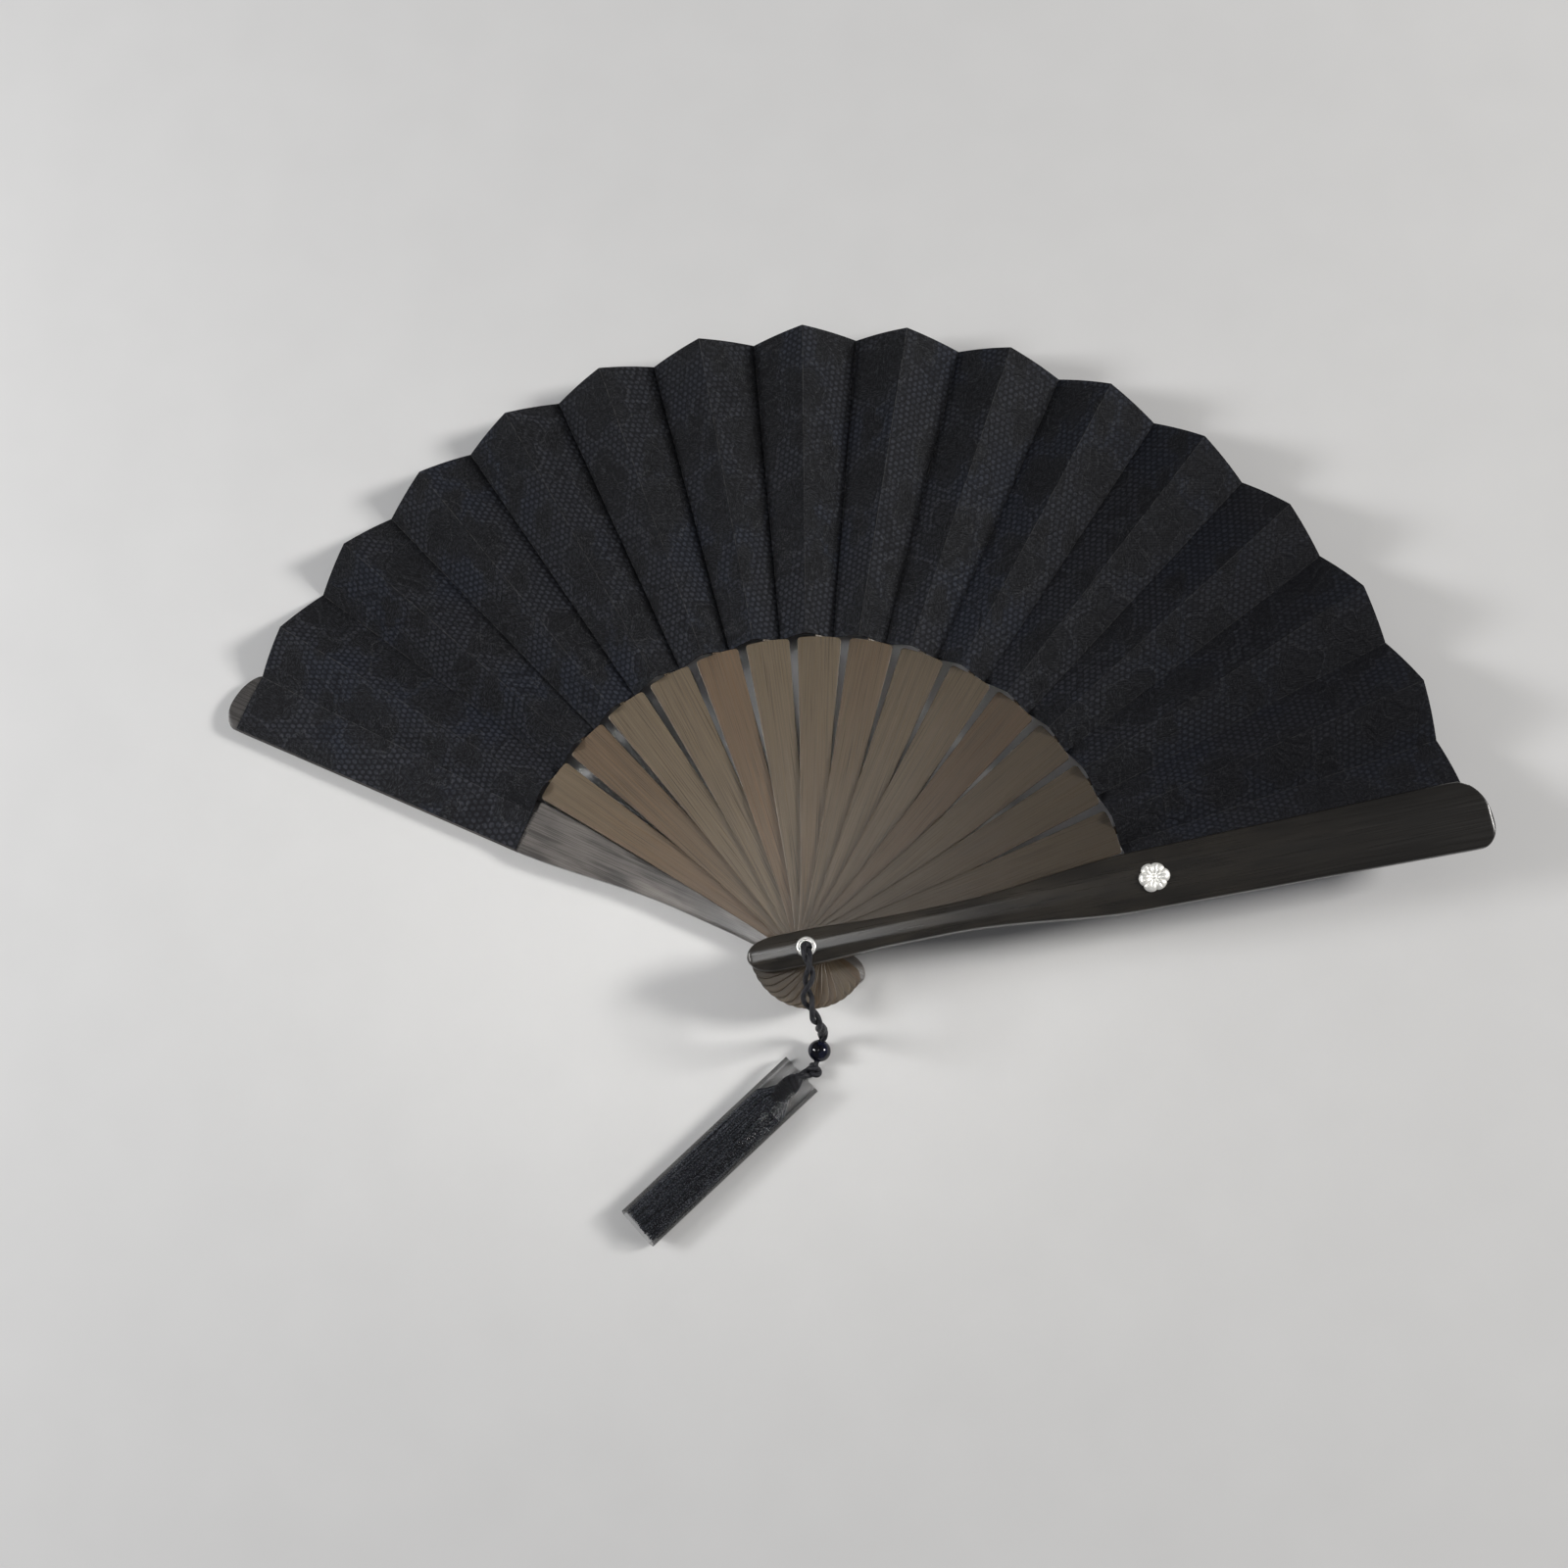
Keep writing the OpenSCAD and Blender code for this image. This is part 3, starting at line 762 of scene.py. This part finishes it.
def head_radius(x):
    """The tassel head swells from the cord's end and is pinched by its binding."""
    u = (x - HEAD_TOP) / (BINDING_FROM - HEAD_TOP)
    if u < 1:
        return HEAD_TOP_R + (HEAD_R - HEAD_TOP_R) * sin(pi / 2 * max(u, 0)) ** 0.8
    return HEAD_BOUND_R


def gathered_ring(x):
    ring = []
    for j in range(HEAD_SIDES):
        a = tau * j / HEAD_SIDES
        r = head_radius(x) * (1 + GATHER_DEPTH * cos(GATHERS * a))
        ring.append((x, r * cos(a), AXIS_Z + r * sin(a)))
    return ring


def make_tassel_head(material):
    """Threads gathered over the cord's end, with a binding wound round them."""
    rings = [gathered_ring(x) for x in np.linspace(HEAD_TOP, HEAD_END, HEAD_RINGS)]
    t = np.linspace(0, tau * BINDING_TURNS, 40 * BINDING_TURNS)
    wound_x = BINDING_FROM + BINDING_D * t / tau
    wound_r = HEAD_BOUND_R + 0.28 * BINDING_D
    wound = np.stack([wound_x, wound_r * np.cos(t), AXIS_Z + wound_r * np.sin(t)], axis=1)
    shape = joined([loft(rings), tube(wound, BINDING_D / 2, BINDING_SIDES)])
    piece = new_piece("tassel_cap", shape, material, TASSEL_PLACING)
    around = [(j / HEAD_SIDES, k * 0.4 * MM) for k in range(HEAD_RINGS) for j in range(HEAD_SIDES)]
    set_uv(piece, "strand", around + strand_uv(wound, BINDING_SIDES))
    return finish_piece(piece, ["tassel_head"])


THREAD_COUNT = 230
THREAD_R = 0.33 * MM
THREAD_SIDES = 5
SKIRT_HALF_W = 6 * MM
SKIRT_HALF_H = 2.7 * MM
SKIRT_FROM = 7.5 * MM
SKIRT_FULL = 13.5 * MM
GOLDEN_ANGLE = pi * (3 - sqrt(5))


def thread_line(i, random):
    """Thread i of the bundle, from under the binding to an end of its own."""
    reach = sqrt((i + 0.5) / THREAD_COUNT)
    angle = GOLDEN_ANGLE * i
    end = SLEEVE_LEN - (0.6 + 2.2 * random.random()) * MM
    x = np.linspace(SKIRT_FROM, end, 22)
    spread = np.clip((x - SKIRT_FROM) / (SKIRT_FULL - SKIRT_FROM), 0, 1)
    spread = 0.4 + 0.6 * spread * spread * (3 - 2 * spread)
    swing = random.uniform(0.15, 0.5) * MM
    phase, pace = random.uniform(0, tau), random.uniform(4, 9) * MM
    wander = swing * np.sin(x / pace + phase) * (1 - 0.55 * reach)
    y = SKIRT_HALF_W * reach * cos(angle) * spread + wander
    z = AXIS_Z + SKIRT_HALF_H * reach * sin(angle) * (0.75 + 0.25 * spread) + 0.4 * wander
    return np.stack([x, y, z], axis=1)


def make_tassel_threads(material):
    """A bundle of threads that fans out from the head and fills the sleeve."""
    random = np.random.default_rng(7)
    threads, coordinates = [], []
    for i in range(THREAD_COUNT):
        line = thread_line(i, random)
        radius = THREAD_R * np.concatenate([np.ones(len(line) - 1), [0.6]])
        threads.append(tube(line, radius, THREAD_SIDES))
        own = random.random() * 10
        coordinates += [(own, k / len(line)) for k in range(len(line)) for _ in range(THREAD_SIDES)]
    piece = new_piece("tassel_threads", joined(threads), material, TASSEL_PLACING)
    set_uv(piece, "thread", coordinates)
    return finish_piece(piece, ["tassel_skirt"])


FILM_TH = 0.16 * MM
SLEEVE_SLANT = 1.2 * MM
SLEEVE_KNEE = 1.9 * MM
SLEEVE_STEPS = (3, 12, 3, 5, 3, 12, 3, 5)
SLEEVE_WAVE = 0.12 * MM
SLEEVE_WAVE_PACE = 6.5 * MM
SLEEVE_DENT = 0.1 * MM


def sleeve_ring(x, inset, push):
    """The sleeve's section: a flattened box with slanting sides, its top pushed in a little."""
    half_w, half_h = SLEEVE_W / 2 - inset, SLEEVE_H / 2 - inset
    level, side = half_w - SLEEVE_SLANT, half_h - SLEEVE_KNEE
    corners = [(half_w, side), (level, half_h), (-level, half_h), (-half_w, side)]
    corners += [(-y, -z) for y, z in corners]
    ring = []
    for k, (y, z) in enumerate(corners):
        next_y, next_z = corners[(k + 1) % len(corners)]
        for j in range(SLEEVE_STEPS[k]):
            u = j / SLEEVE_STEPS[k]
            ring.append((y + (next_y - y) * u, z + (next_z - z) * u))
    pushed = [push * sin(pi * (y / SLEEVE_W + 0.5)) if z > 0 else 0 for y, z in ring]
    return [(x, y, AXIS_Z + z - down) for (y, z), down in zip(ring, pushed)]


def make_sleeve(material):
    """A tube of stiff clear film round the tassel, open at both ends."""
    random = np.random.default_rng(3)
    stations = np.linspace(0, SLEEVE_LEN, 34)
    wave = SLEEVE_WAVE * (1 + np.sin(stations / SLEEVE_WAVE_PACE))
    pushes = wave + SLEEVE_DENT * random.random(len(stations))
    outer = [sleeve_ring(x, 0, push) for x, push in zip(stations, pushes)]
    inner = [sleeve_ring(x, FILM_TH, push) for x, push in zip(stations, pushes)]
    shape = loft(outer + inner[::-1], ends="joined")
    piece = new_piece("film_sleeve", shape, material, TASSEL_PLACING, sharp=40)
    return finish_piece(piece, ["tassel_sleeve"])


# ---- leaf


def rib_azimuth(i):
    return REAR_AZIMUTH - RIB_STEP * i


def rib_height(i):
    return FIRST_RIB_Z + STACK_STEP * (i - 1)


def fold_azimuth(k, r):
    """Fold lines are counted from the rear guard. Even ones are peaks and odd ones valleys, and
    the leaf's two ends follow the edges of the guards."""
    end = asin((guard_half_width(r) - GLUED_INSET) / r)
    ends = {
        0: REAR_AZIMUTH + end,
        1: REAR_AZIMUTH - GLUED_EDGE,
        PANEL_COUNT - 1: FRONT_AZIMUTH + GLUED_EDGE,
        PANEL_COUNT: FRONT_AZIMUTH - end,
    }
    return ends.get(k, rib_azimuth(k // 2) + (-1) ** k * RIB_STEP / 4)


def fold_point(k, r):
    if k < 2:
        z = GUARD_LEAF_TH + GLUE_GAP + LEAF_TH / 2
    elif k > PANEL_COUNT - 2:
        z = FRONT_OUTER_Z - GUARD_LEAF_TH - GLUE_GAP - LEAF_TH / 2
    else:
        z = rib_height(k // 2) + (-1) ** k * FOLD_RISE * r
    a = fold_azimuth(k, r)
    return np.array([r * cos(a), r * sin(a), z])


def flat_angle(k):
    """Angle of fold line k when the whole leaf is spread flat, with its middle towards +Y."""
    glued = GLUED_EDGE + GLUED_BACK
    whole = 2 * glued + (PANEL_COUNT - 2) * PANEL_ANGLE
    turned = 0 if k == 0 else glued + PANEL_ANGLE * (min(k, PANEL_COUNT - 1) - 1)
    if k == PANEL_COUNT:
        turned += glued
    return (pi + whole) / 2 - turned


PANEL_ACROSS = (0, 0.03, 0.1, 0.22, 0.36, 0.5, 0.64, 0.78, 0.9, 0.97, 1)
PANEL_ROWS = 18
CLOTH_WAVE = 0.22 * MM


def panel_is_glued(k):
    return k in (0, PANEL_COUNT - 1)


def panel_point(k, u, r, wave):
    """The middle of the cloth, a share u of the way across panel k."""
    a, b = fold_point(k, r), fold_point(k + 1, r)
    point = a + (b - a) * u
    swell = cos(PANEL_ANGLE * (u - 0.5)) / cos(PANEL_ANGLE / 2)
    point[:2] *= swell
    if not panel_is_glued(k):
        depth = (r - LEAF_IN_R) / (LEAF_OUT_R - LEAF_IN_R)
        lift = wave[0] + wave[1] * sin(4.5 * depth + wave[2])
        point[2] += CLOTH_WAVE * lift * sin(pi * u)
    return point


def panel_faces():
    """Faces of a panel's upper and lower grids and the rim between them, with the material of
    each: 0 for the lace and 1 for its lining."""
    columns, rows = len(PANEL_ACROSS), PANEL_ROWS
    layer = rows * columns
    faces, materials = [], []
    for i in range(rows - 1):
        for j in range(columns - 1):
            a = i * columns + j
            square = (a, a + columns, a + columns + 1, a + 1)
            faces += [square[::-1], tuple(layer + v for v in square)]
            materials += [0, 1]
    rim = list(range(columns))
    rim += [i * columns + columns - 1 for i in range(1, rows)]
    rim += [(rows - 1) * columns + j for j in range(columns - 2, -1, -1)]
    rim += [i * columns for i in range(rows - 2, 0, -1)]
    faces += [(a, a + layer, b + layer, b) for a, b in zip(rim, rim[1:] + rim[:1])]
    return faces, materials + [0] * len(rim)


def make_panel(k, lace, lining):
    """One panel of the leaf: lace above and its lining below, closed along all four edges."""
    random = np.random.default_rng(100 + k)
    wave = (0.5 + 0.4 * random.random(), 0.5 * random.random(), 6 * random.random())
    half = LEAF_TH / 2 if panel_is_glued(k) else LEAF_TH / 2 / cos(LEAN)
    start, end = flat_angle(k), flat_angle(k + 1)
    points, cloth, panel = [], [], []
    for height in (half, -half):
        for r in np.linspace(LEAF_IN_R, LEAF_OUT_R, PANEL_ROWS):
            for u in PANEL_ACROSS:
                a = start + (end - start) * u
                points.append(panel_point(k, u, r, wave) + (0, 0, height))
                cloth.append((r * cos(a), r * sin(a)))
                panel.append((u, r))
    faces, materials = panel_faces()
    piece = new_piece(f"lace_panel_{k:02d}", (points, faces), lace, sharp=35)
    piece.data.materials.append(lining)
    piece.data.polygons.foreach_set("material_index", materials)
    set_uv(piece, "cloth", cloth)
    set_uv(piece, "panel", panel)
    return piece, [u for u, _ in panel]


def fold_body(k):
    """The CAD body that carries fold line k."""
    if k < 2:
        return "rear_guard"
    if k > PANEL_COUNT - 2:
        return "leaf_last"
    return f"leaf_{'peak' if k % 2 == 0 else 'valley'}_{k // 2:02d}"


def fasten_panel(k, piece):
    """A panel whose fold lines lie on one body is attached to it; any other keeps its place."""
    a, b = fold_body(k), fold_body(k + 1)
    if a == b:
        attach(piece, a)
        return
    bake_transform(piece)


def make_leaf(lace, lining):
    for k in range(PANEL_COUNT):
        piece, weights = make_panel(k, lace, lining)
        fasten_panel(k, piece)
        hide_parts(f"leaf_{k:02d}")


# ---- sticks


def ease(a, b, u):
    u = min(max(u, 0), 1)
    return a + (b - a) * (1 - cos(pi * u)) / 2


BARREL_R = 2.1 * MM
HEAD_R_OUT = 2.8 * MM
SEAT_GAP = 0.2 * MM
SEAT_DEPTH = 0.1 * MM
HEAD_BASE = FRONT_OUTER_Z - 0.5 * MM
HEAD_H = 1.1 * MM

BUTT_HALF_W = 5 * MM
NECK_HALF_W = 4.1 * MM
FLARE_HALF_W = 8.4 * MM
TIP_HALF_W = 10 * MM
NECK_FROM = 25 * MM
NECK_TO = 40 * MM
FLARE_TO = 98 * MM
WIDE_CORNER = (8.5 * MM, 13 * MM)
TIGHT_CORNER = (4.8 * MM, 6.8 * MM)
BUTT_ROUND = 8.5 * MM
NECK_CROWN_R = 8 * MM
TIP_CROWN_R = 42 * MM
CROWN_FLAT = 0.15 * MM
RECESS_R = 92 * MM
RIVET_HOLE_R = 2.18 * MM


def guard_half_width(x):
    if x < NECK_FROM:
        return ease(BUTT_HALF_W, NECK_HALF_W, x / NECK_FROM)
    if x < FLARE_TO:
        return ease(NECK_HALF_W, FLARE_HALF_W, (x - NECK_TO) / (FLARE_TO - NECK_TO))
    return FLARE_HALF_W + (TIP_HALF_W - FLARE_HALF_W) * (x - FLARE_TO) / (TIP_R - FLARE_TO)


def rounded_end(x, end, length, depth=None):
    """How much an edge has drawn in at x, where its corner, length long, ends at end. It is round
    unless it has a depth."""
    depth = length if depth is None else depth
    past = (x - (end - length)) / length
    return 0 if past <= 0 else depth * (1 - sqrt(max(1 - past**2, 0)))


def crown_radius(x):
    u = min(max((x - NECK_TO) / (TIP_R - NECK_TO), 0), 1)
    return NECK_CROWN_R + (TIP_CROWN_R - NECK_CROWN_R) * u


def guard_sides(x):
    """The guard's edges at x: the one with the wide corner, towards the leaf, is the lower."""
    half = guard_half_width(x) - rounded_end(-x, BUTT_LEN, BUTT_ROUND, BUTT_HALF_W)
    return rounded_end(x, TIP_R, *WIDE_CORNER) - half, half - rounded_end(x, TIP_R, *TIGHT_CORNER)


def section(low, high, outer, inner, outer_edge, inner_edge, columns=15):
    """A stick's section as (y, z): its outer face follows outer(y), its inner face is level."""
    e, f = (min(edge, 0.45 * (high - low)) for edge in (outer_edge, inner_edge))
    ring = [(y, outer(y)) for y in np.linspace(low + e, high - e, columns)]
    ring += arc((high - e, outer(high - e) + e), e, -90, 0, 4)[1:]
    ring += arc((high - f, inner - f), f, 0, 90, 4)
    ring += [(y, inner) for y in np.linspace(high - f, low + f, 7)[1:-1]]
    ring += arc((low + f, inner - f), f, 90, 180, 4)
    return ring + arc((low + e, outer(low + e) + e), e, 180, 270, 4)[:-1]


def end_spaced(start, end, radius, count, fine=10):
    """Stations from start to end, closer together over a radius at both ends."""
    turn = np.linspace(0, pi / 2, fine, endpoint=False)
    near = start + radius * (1 - np.cos(turn))
    far = end - radius + radius * np.sin(turn)
    middle = np.linspace(start + radius, end - radius, count)
    return np.concatenate([near, middle[:-1], far, [end]])


OUTER_EDGE = 1.1 * MM
INNER_EDGE = 0.35 * MM
END_ROUND = 1.3 * MM
END_GAP = 0.02 * MM
END_FINE_LEN = 4 * MM
RECESS_STEP = 0.3 * MM


def guard_rings():
    """The guard with its crowned outer face down on Z = 0 and its tip along +X."""
    rings = []
    stations = end_spaced(END_GAP - BUTT_LEN, TIP_R - END_GAP, END_FINE_LEN, 70)
    recess = (RECESS_R - RECESS_STEP, RECESS_R, RECESS_R + RECESS_STEP)
    for x in sorted((*stations, *recess)):
        low, high = guard_sides(x)
        lift = rounded_end(x, TIP_R, END_ROUND) + rounded_end(-x, BUTT_LEN, END_ROUND)
        inner = GUARD_LEAF_TH if x >= RECESS_R else GUARD_TH
        crown = crown_radius(x)

        def outer(y):
            return max(crown - CROWN_FLAT - sqrt(crown**2 - y**2), 0) + lift

        rings.append([(x, y, z) for y, z in section(low, high, outer, inner, OUTER_EDGE, INNER_EDGE)])
    return rings


GRAIN_WRAP_R = 6 * MM
GRAIN_WRAP_LEN = 9 * MM


def make_guard(name, node, placing, material):
    points, faces = loft(guard_rings())
    piece = new_piece(name, (points, faces), material, placing)
    set_uv(piece, "grain", [(x, atan2(y, GRAIN_WRAP_R) * GRAIN_WRAP_LEN + z) for x, y, z in points])
    drill(piece, RIVET_HOLE_R)
    drill(piece, HEAD_R_OUT + SEAT_GAP, HEAD_BASE - SEAT_DEPTH)
    return finish_piece(piece, [node], node)


SHOULDER_HALF_W = 6.55 * MM
RIB_BUTT_HALF_W = 4 * MM
RIB_BUTT_LEN = 16.5 * MM
RIB_NECK_HALF_W = 3.1 * MM
RIB_NECK_AT = 18 * MM
RIB_TAPER_BACK = 13 * MM
RIB_CORNER = 1.1 * MM
RIB_ARCH = 0.28 * MM
RIB_EDGE = 0.16 * MM
RIB_FINE_LEN = 2.6 * MM
RIB_LEAST_HALF_W = 0.02 * MM
TONGUE_W = 2.4 * MM
TONGUE_TH = 0.4 * MM
TONGUE_BACK = 0.6 * MM
TONGUE_END_R = LEAF_OUT_R - 2.9 * MM
ROOT_FROM_R = SHOULDER_R - 1.3 * MM
ROOT_TO_R = SHOULDER_R + 0.35 * MM
ROOT_HALF_W = 0.4 * MM
ROOT_RISE = 0.1 * MM


def rib_half_width(x):
    if x < RIB_BUTT_HALF_W - RIB_BUTT_LEN:
        return sqrt(max(RIB_BUTT_HALF_W**2 - (x + RIB_BUTT_LEN - RIB_BUTT_HALF_W) ** 2, 0))
    if x < RIB_NECK_AT:
        return ease(RIB_BUTT_HALF_W, RIB_NECK_HALF_W, (x + RIB_TAPER_BACK) / (RIB_NECK_AT + RIB_TAPER_BACK))
    u = (x - RIB_NECK_AT) / (SHOULDER_R - RIB_NECK_AT)
    half = RIB_NECK_HALF_W + (SHOULDER_HALF_W - RIB_NECK_HALF_W) * (0.62 * u + 0.38 * u**0.9 * u)
    half -= rounded_end(x, SHOULDER_R - RIB_ARCH, RIB_CORNER)
    arched = min(max((SHOULDER_R - x) / RIB_ARCH, 0), 1)
    return half * sqrt(arched)


def rib_rings():
    """A rib's blade along +X, with its middle on Z = 0 and soft edges."""
    rings = []
    for x in end_spaced(-RIB_BUTT_LEN + 0.01 * MM, SHOULDER_R - 0.004 * MM, RIB_FINE_LEN, 40, 16):
        half = max(rib_half_width(x), RIB_LEAST_HALF_W)
        ring = section(-half, half, lambda y: -RIB_TH / 2, RIB_TH / 2, RIB_EDGE, RIB_EDGE, 9)
        rings.append([(x, y, -z) for y, z in ring])
    return rings


def bar(x_from, x_to, half_w, low, high):
    """(points, faces) of a plain bar along X."""
    corners = ((-half_w, low), (half_w, low), (half_w, high), (-half_w, high))
    return loft([[(x, y, z) for y, z in corners] for x in (x_from, x_to)])


def make_rib(i, template):
    """A copy of the template, with grain of its own, turned to its place in the fan."""
    mesh = template.data.copy()
    piece = add_object(f"bamboo_rib_{i:02d}", mesh)
    layer = mesh.uv_layers["grain"].data
    grain = np.zeros(2 * len(mesh.loops), np.float32)
    layer.foreach_get("uv", grain)
    grain[0::2] += BLADE_UV_STEP * i
    layer.foreach_set("uv", grain)
    mesh.transform(about_z(rib_azimuth(i), rib_height(i)))
    node = f"rib_{i:02d}"
    return finish_piece(piece, [node], node)


def make_ribs(material):
    blade = loft(rib_rings())
    root = bar(ROOT_FROM_R, ROOT_TO_R, ROOT_HALF_W, ROOT_RISE - TONGUE_TH, ROOT_RISE)
    tongue_from, top = SHOULDER_R + ROOT_RISE, TONGUE_TH - TONGUE_BACK
    tongue = bar(tongue_from, TONGUE_END_R, TONGUE_W / 2, -TONGUE_BACK, top)
    leaning = Matrix.Rotation(LEAN, 4, "X")
    tongue_points, tongue_faces = joined([root, tongue])
    points, faces = joined([blade, (placed(tongue_points, leaning), tongue_faces)])
    template = new_piece("rib_template", (points, faces), material)
    set_uv(template, "grain", [(x, y + z) for x, y, z in points])
    drill(template, RIVET_HOLE_R)
    for i in range(1, RIB_COUNT + 1):
        make_rib(i, template)
    bpy.data.objects.remove(template)


# ---- rivet and flower

HEAD_INNER_ROLL = 0.22 * MM


def make_rivet_head(material):
    """The barrel's end rolled outwards into a ring."""
    roll = HEAD_H / 2
    middle = HEAD_R_OUT - roll
    mouth = (BARREL_R + 0.25 * MM, HEAD_BASE + HEAD_H - HEAD_INNER_ROLL)
    profile = [(BARREL_R + 0.03 * MM, HEAD_BASE)]
    profile += arc((middle, HEAD_BASE + roll), roll, -90, 90, 14)
    profile += arc(mouth, HEAD_INNER_ROLL, 90, 180, 6)
    piece = new_piece("rivet_ring", lathe(profile, 64), material, sharp=50)
    return finish_piece(piece, ["rivet_head"])


FLOWER_X = 98.4 * MM
FLOWER_R = 4.45 * MM
PETALS = 6
PETAL_H = 1.25 * MM
FLOWER_AROUND = 144
FLOWER_RINGS = 16
FLOWER_LIFT = 0.05 * MM


def flower_height(share, angle):
    """The flower's relief: cupped petals about a domed middle, with engraved lines between."""
    lobe = abs(cos(PETALS / 2 * angle))
    dome = 0.95 * exp(-((share / 0.2) ** 2))
    petal = sin(pi * min(max((share - 0.16) / 0.86, 0), 1)) ** 0.7
    groove = (1 - lobe) ** 3 * 0.35 * min(share * 3, 1)
    vein = 0.16 * cos(PETALS / 2 * angle) ** 40 * petal
    curl = 0.1 * sin(2 * angle + 0.8) * share
    return max(0.28 + 0.72 * max(dome, petal * (1 - groove)) - vein + curl, 0.12)


def flower_ring(share):
    """The flower's points at a share of its radius."""
    ring = []
    for j in range(FLOWER_AROUND):
        a = tau * j / FLOWER_AROUND
        lobe = abs(cos(PETALS / 2 * a)) ** 0.55
        uneven = 1 + 0.035 * sin(2 * a + 1) + 0.03 * cos(3 * a)
        r = FLOWER_R * uneven / 1.05 * (0.86 + 0.14 * lobe) * max(share, 0.004)
        round_off = sqrt(max(1 - max((share - 0.86) / 0.14, 0) ** 2, 0))
        z = PETAL_H * flower_height(share, a) * (0.35 + 0.65 * round_off)
        ring.append((r * cos(a), r * sin(a), z))
    return ring


def make_flower(material):
    """A small cast rosette on the guard, with its stud in the middle."""
    rings = [flower_ring(k / FLOWER_RINGS) for k in range(FLOWER_RINGS + 1)]
    rings.append([(x, y, 0) for x, y, _ in rings[-1]])
    seat = Matrix.Translation((FLOWER_X, 0, FRONT_OUTER_Z + FLOWER_LIFT))
    placing = about_z(FRONT_AZIMUTH) @ seat
    piece = new_piece("flower_ornament", loft(rings), material, placing, sharp=60)
    return finish_piece(piece, ["flower", "flower_stud"], "front_guard")


# ---- stage

FLOOR_HALF = 3
FLOOR_DROP = 0.02 * MM


def make_floor():
    corners = [(x * FLOOR_HALF, y * FLOOR_HALF, 0) for x, y in ((-1, -1), (1, -1), (1, 1), (-1, 1))]
    floor = new_piece("floor", (corners, [(0, 1, 2, 3)]), make_floor_material())
    floor.location.z = -FLOOR_DROP


# Each light's place, target, size, watts, colour and spread in degrees. The side lights lie along
# no gap between the ribs, so the floor under them stays darker.
WHITE = (1, 1, 1)
LIGHTS = {
    "right_softbox": ((1.62, 0.55, 1.1), (0, 0.07, 0), (0.4, 0.4), 35, (1, 0.98, 0.95), 180),
    "left_softbox": ((-0.75, 0.02, 0.5), (0, 0.07, 0), (0.2, 0.2), 4.1, WHITE, 180),
    "pivot_softbox": ((-0.45, -0.02, 0.45), (-0.01, 0.03, 0), (0.15, 0.15), 0.034, (1, 0.97, 0.93), 30),
    "overhead_softbox": ((-0.05, 0.06, 0.62), (0, 0.025, 0), (0.17, 0.045), 0.0056, WHITE, 21),
}
WORLD_COLOUR = (0.96, 0.97, 1, 1)
WORLD_STRENGTH = 0.18


def add_light(name, at, to, size, watts, colour, spread):
    data = bpy.data.lights.new(name, "AREA")
    data.shape = "RECTANGLE"
    data.size, data.size_y = size
    data.energy = watts
    data.color = colour
    data.spread = radians(spread)
    light = add_object(name, data)
    light.location = at
    light.rotation_euler = (Vector(to) - Vector(at)).to_track_quat("-Z", "Y").to_euler()


def make_lights():
    for name, settings in LIGHTS.items():
        add_light(name, *settings)
    world = bpy.data.worlds.new("world")
    world.use_nodes = True
    background = world.node_tree.nodes["Background"]
    background.inputs["Color"].default_value = WORLD_COLOUR
    background.inputs["Strength"].default_value = WORLD_STRENGTH
    bpy.context.scene.world = world
    bpy.context.scene.view_settings.view_transform = "Standard"


# ---- the fan

make_camera()

cord_thread = make_cord_thread()
twisted_cord, cord_line = make_cord(cord_thread)
bead_piece = make_bead(make_bead_glass())
knot_piece = make_knot(cord_thread)
tassel_cap = make_tassel_head(cord_thread)
tassel_threads = make_tassel_threads(make_tassel_thread())
film_sleeve = make_sleeve(make_film())
[tuple(p) for p in cord_line]

make_leaf(make_lace(), make_lining())
make_ribs(make_bamboo())

ebony = make_guard_wood("ebony", (0.0105, 0.009, 0.0074), (0.025, 0.021, 0.016), 0.26, 0.4)
grey_wood = make_guard_wood("grey_wood", (0.052, 0.048, 0.046), (0.17, 0.155, 0.143), 0.22, 0.6)
make_guard("guard_left", "rear_guard", about_z(REAR_AZIMUTH), grey_wood)
turned_over = about_z(FRONT_AZIMUTH, FRONT_OUTER_Z) @ Matrix.Rotation(pi, 4, "X")
make_guard("guard_right", "front_guard", turned_over, ebony)

silver = make_metal("silver", (0.92, 0.91, 0.88), 0.3, 0.8)
make_rivet_head(silver)
make_flower(make_metal("flower_silver", (0.93, 0.92, 0.88), 0.38, 0.55))
rivet = frame["nodes"]["rivet"]
rivet.data.materials.clear()
rivet.data.materials.append(silver)

make_floor()
make_lights()
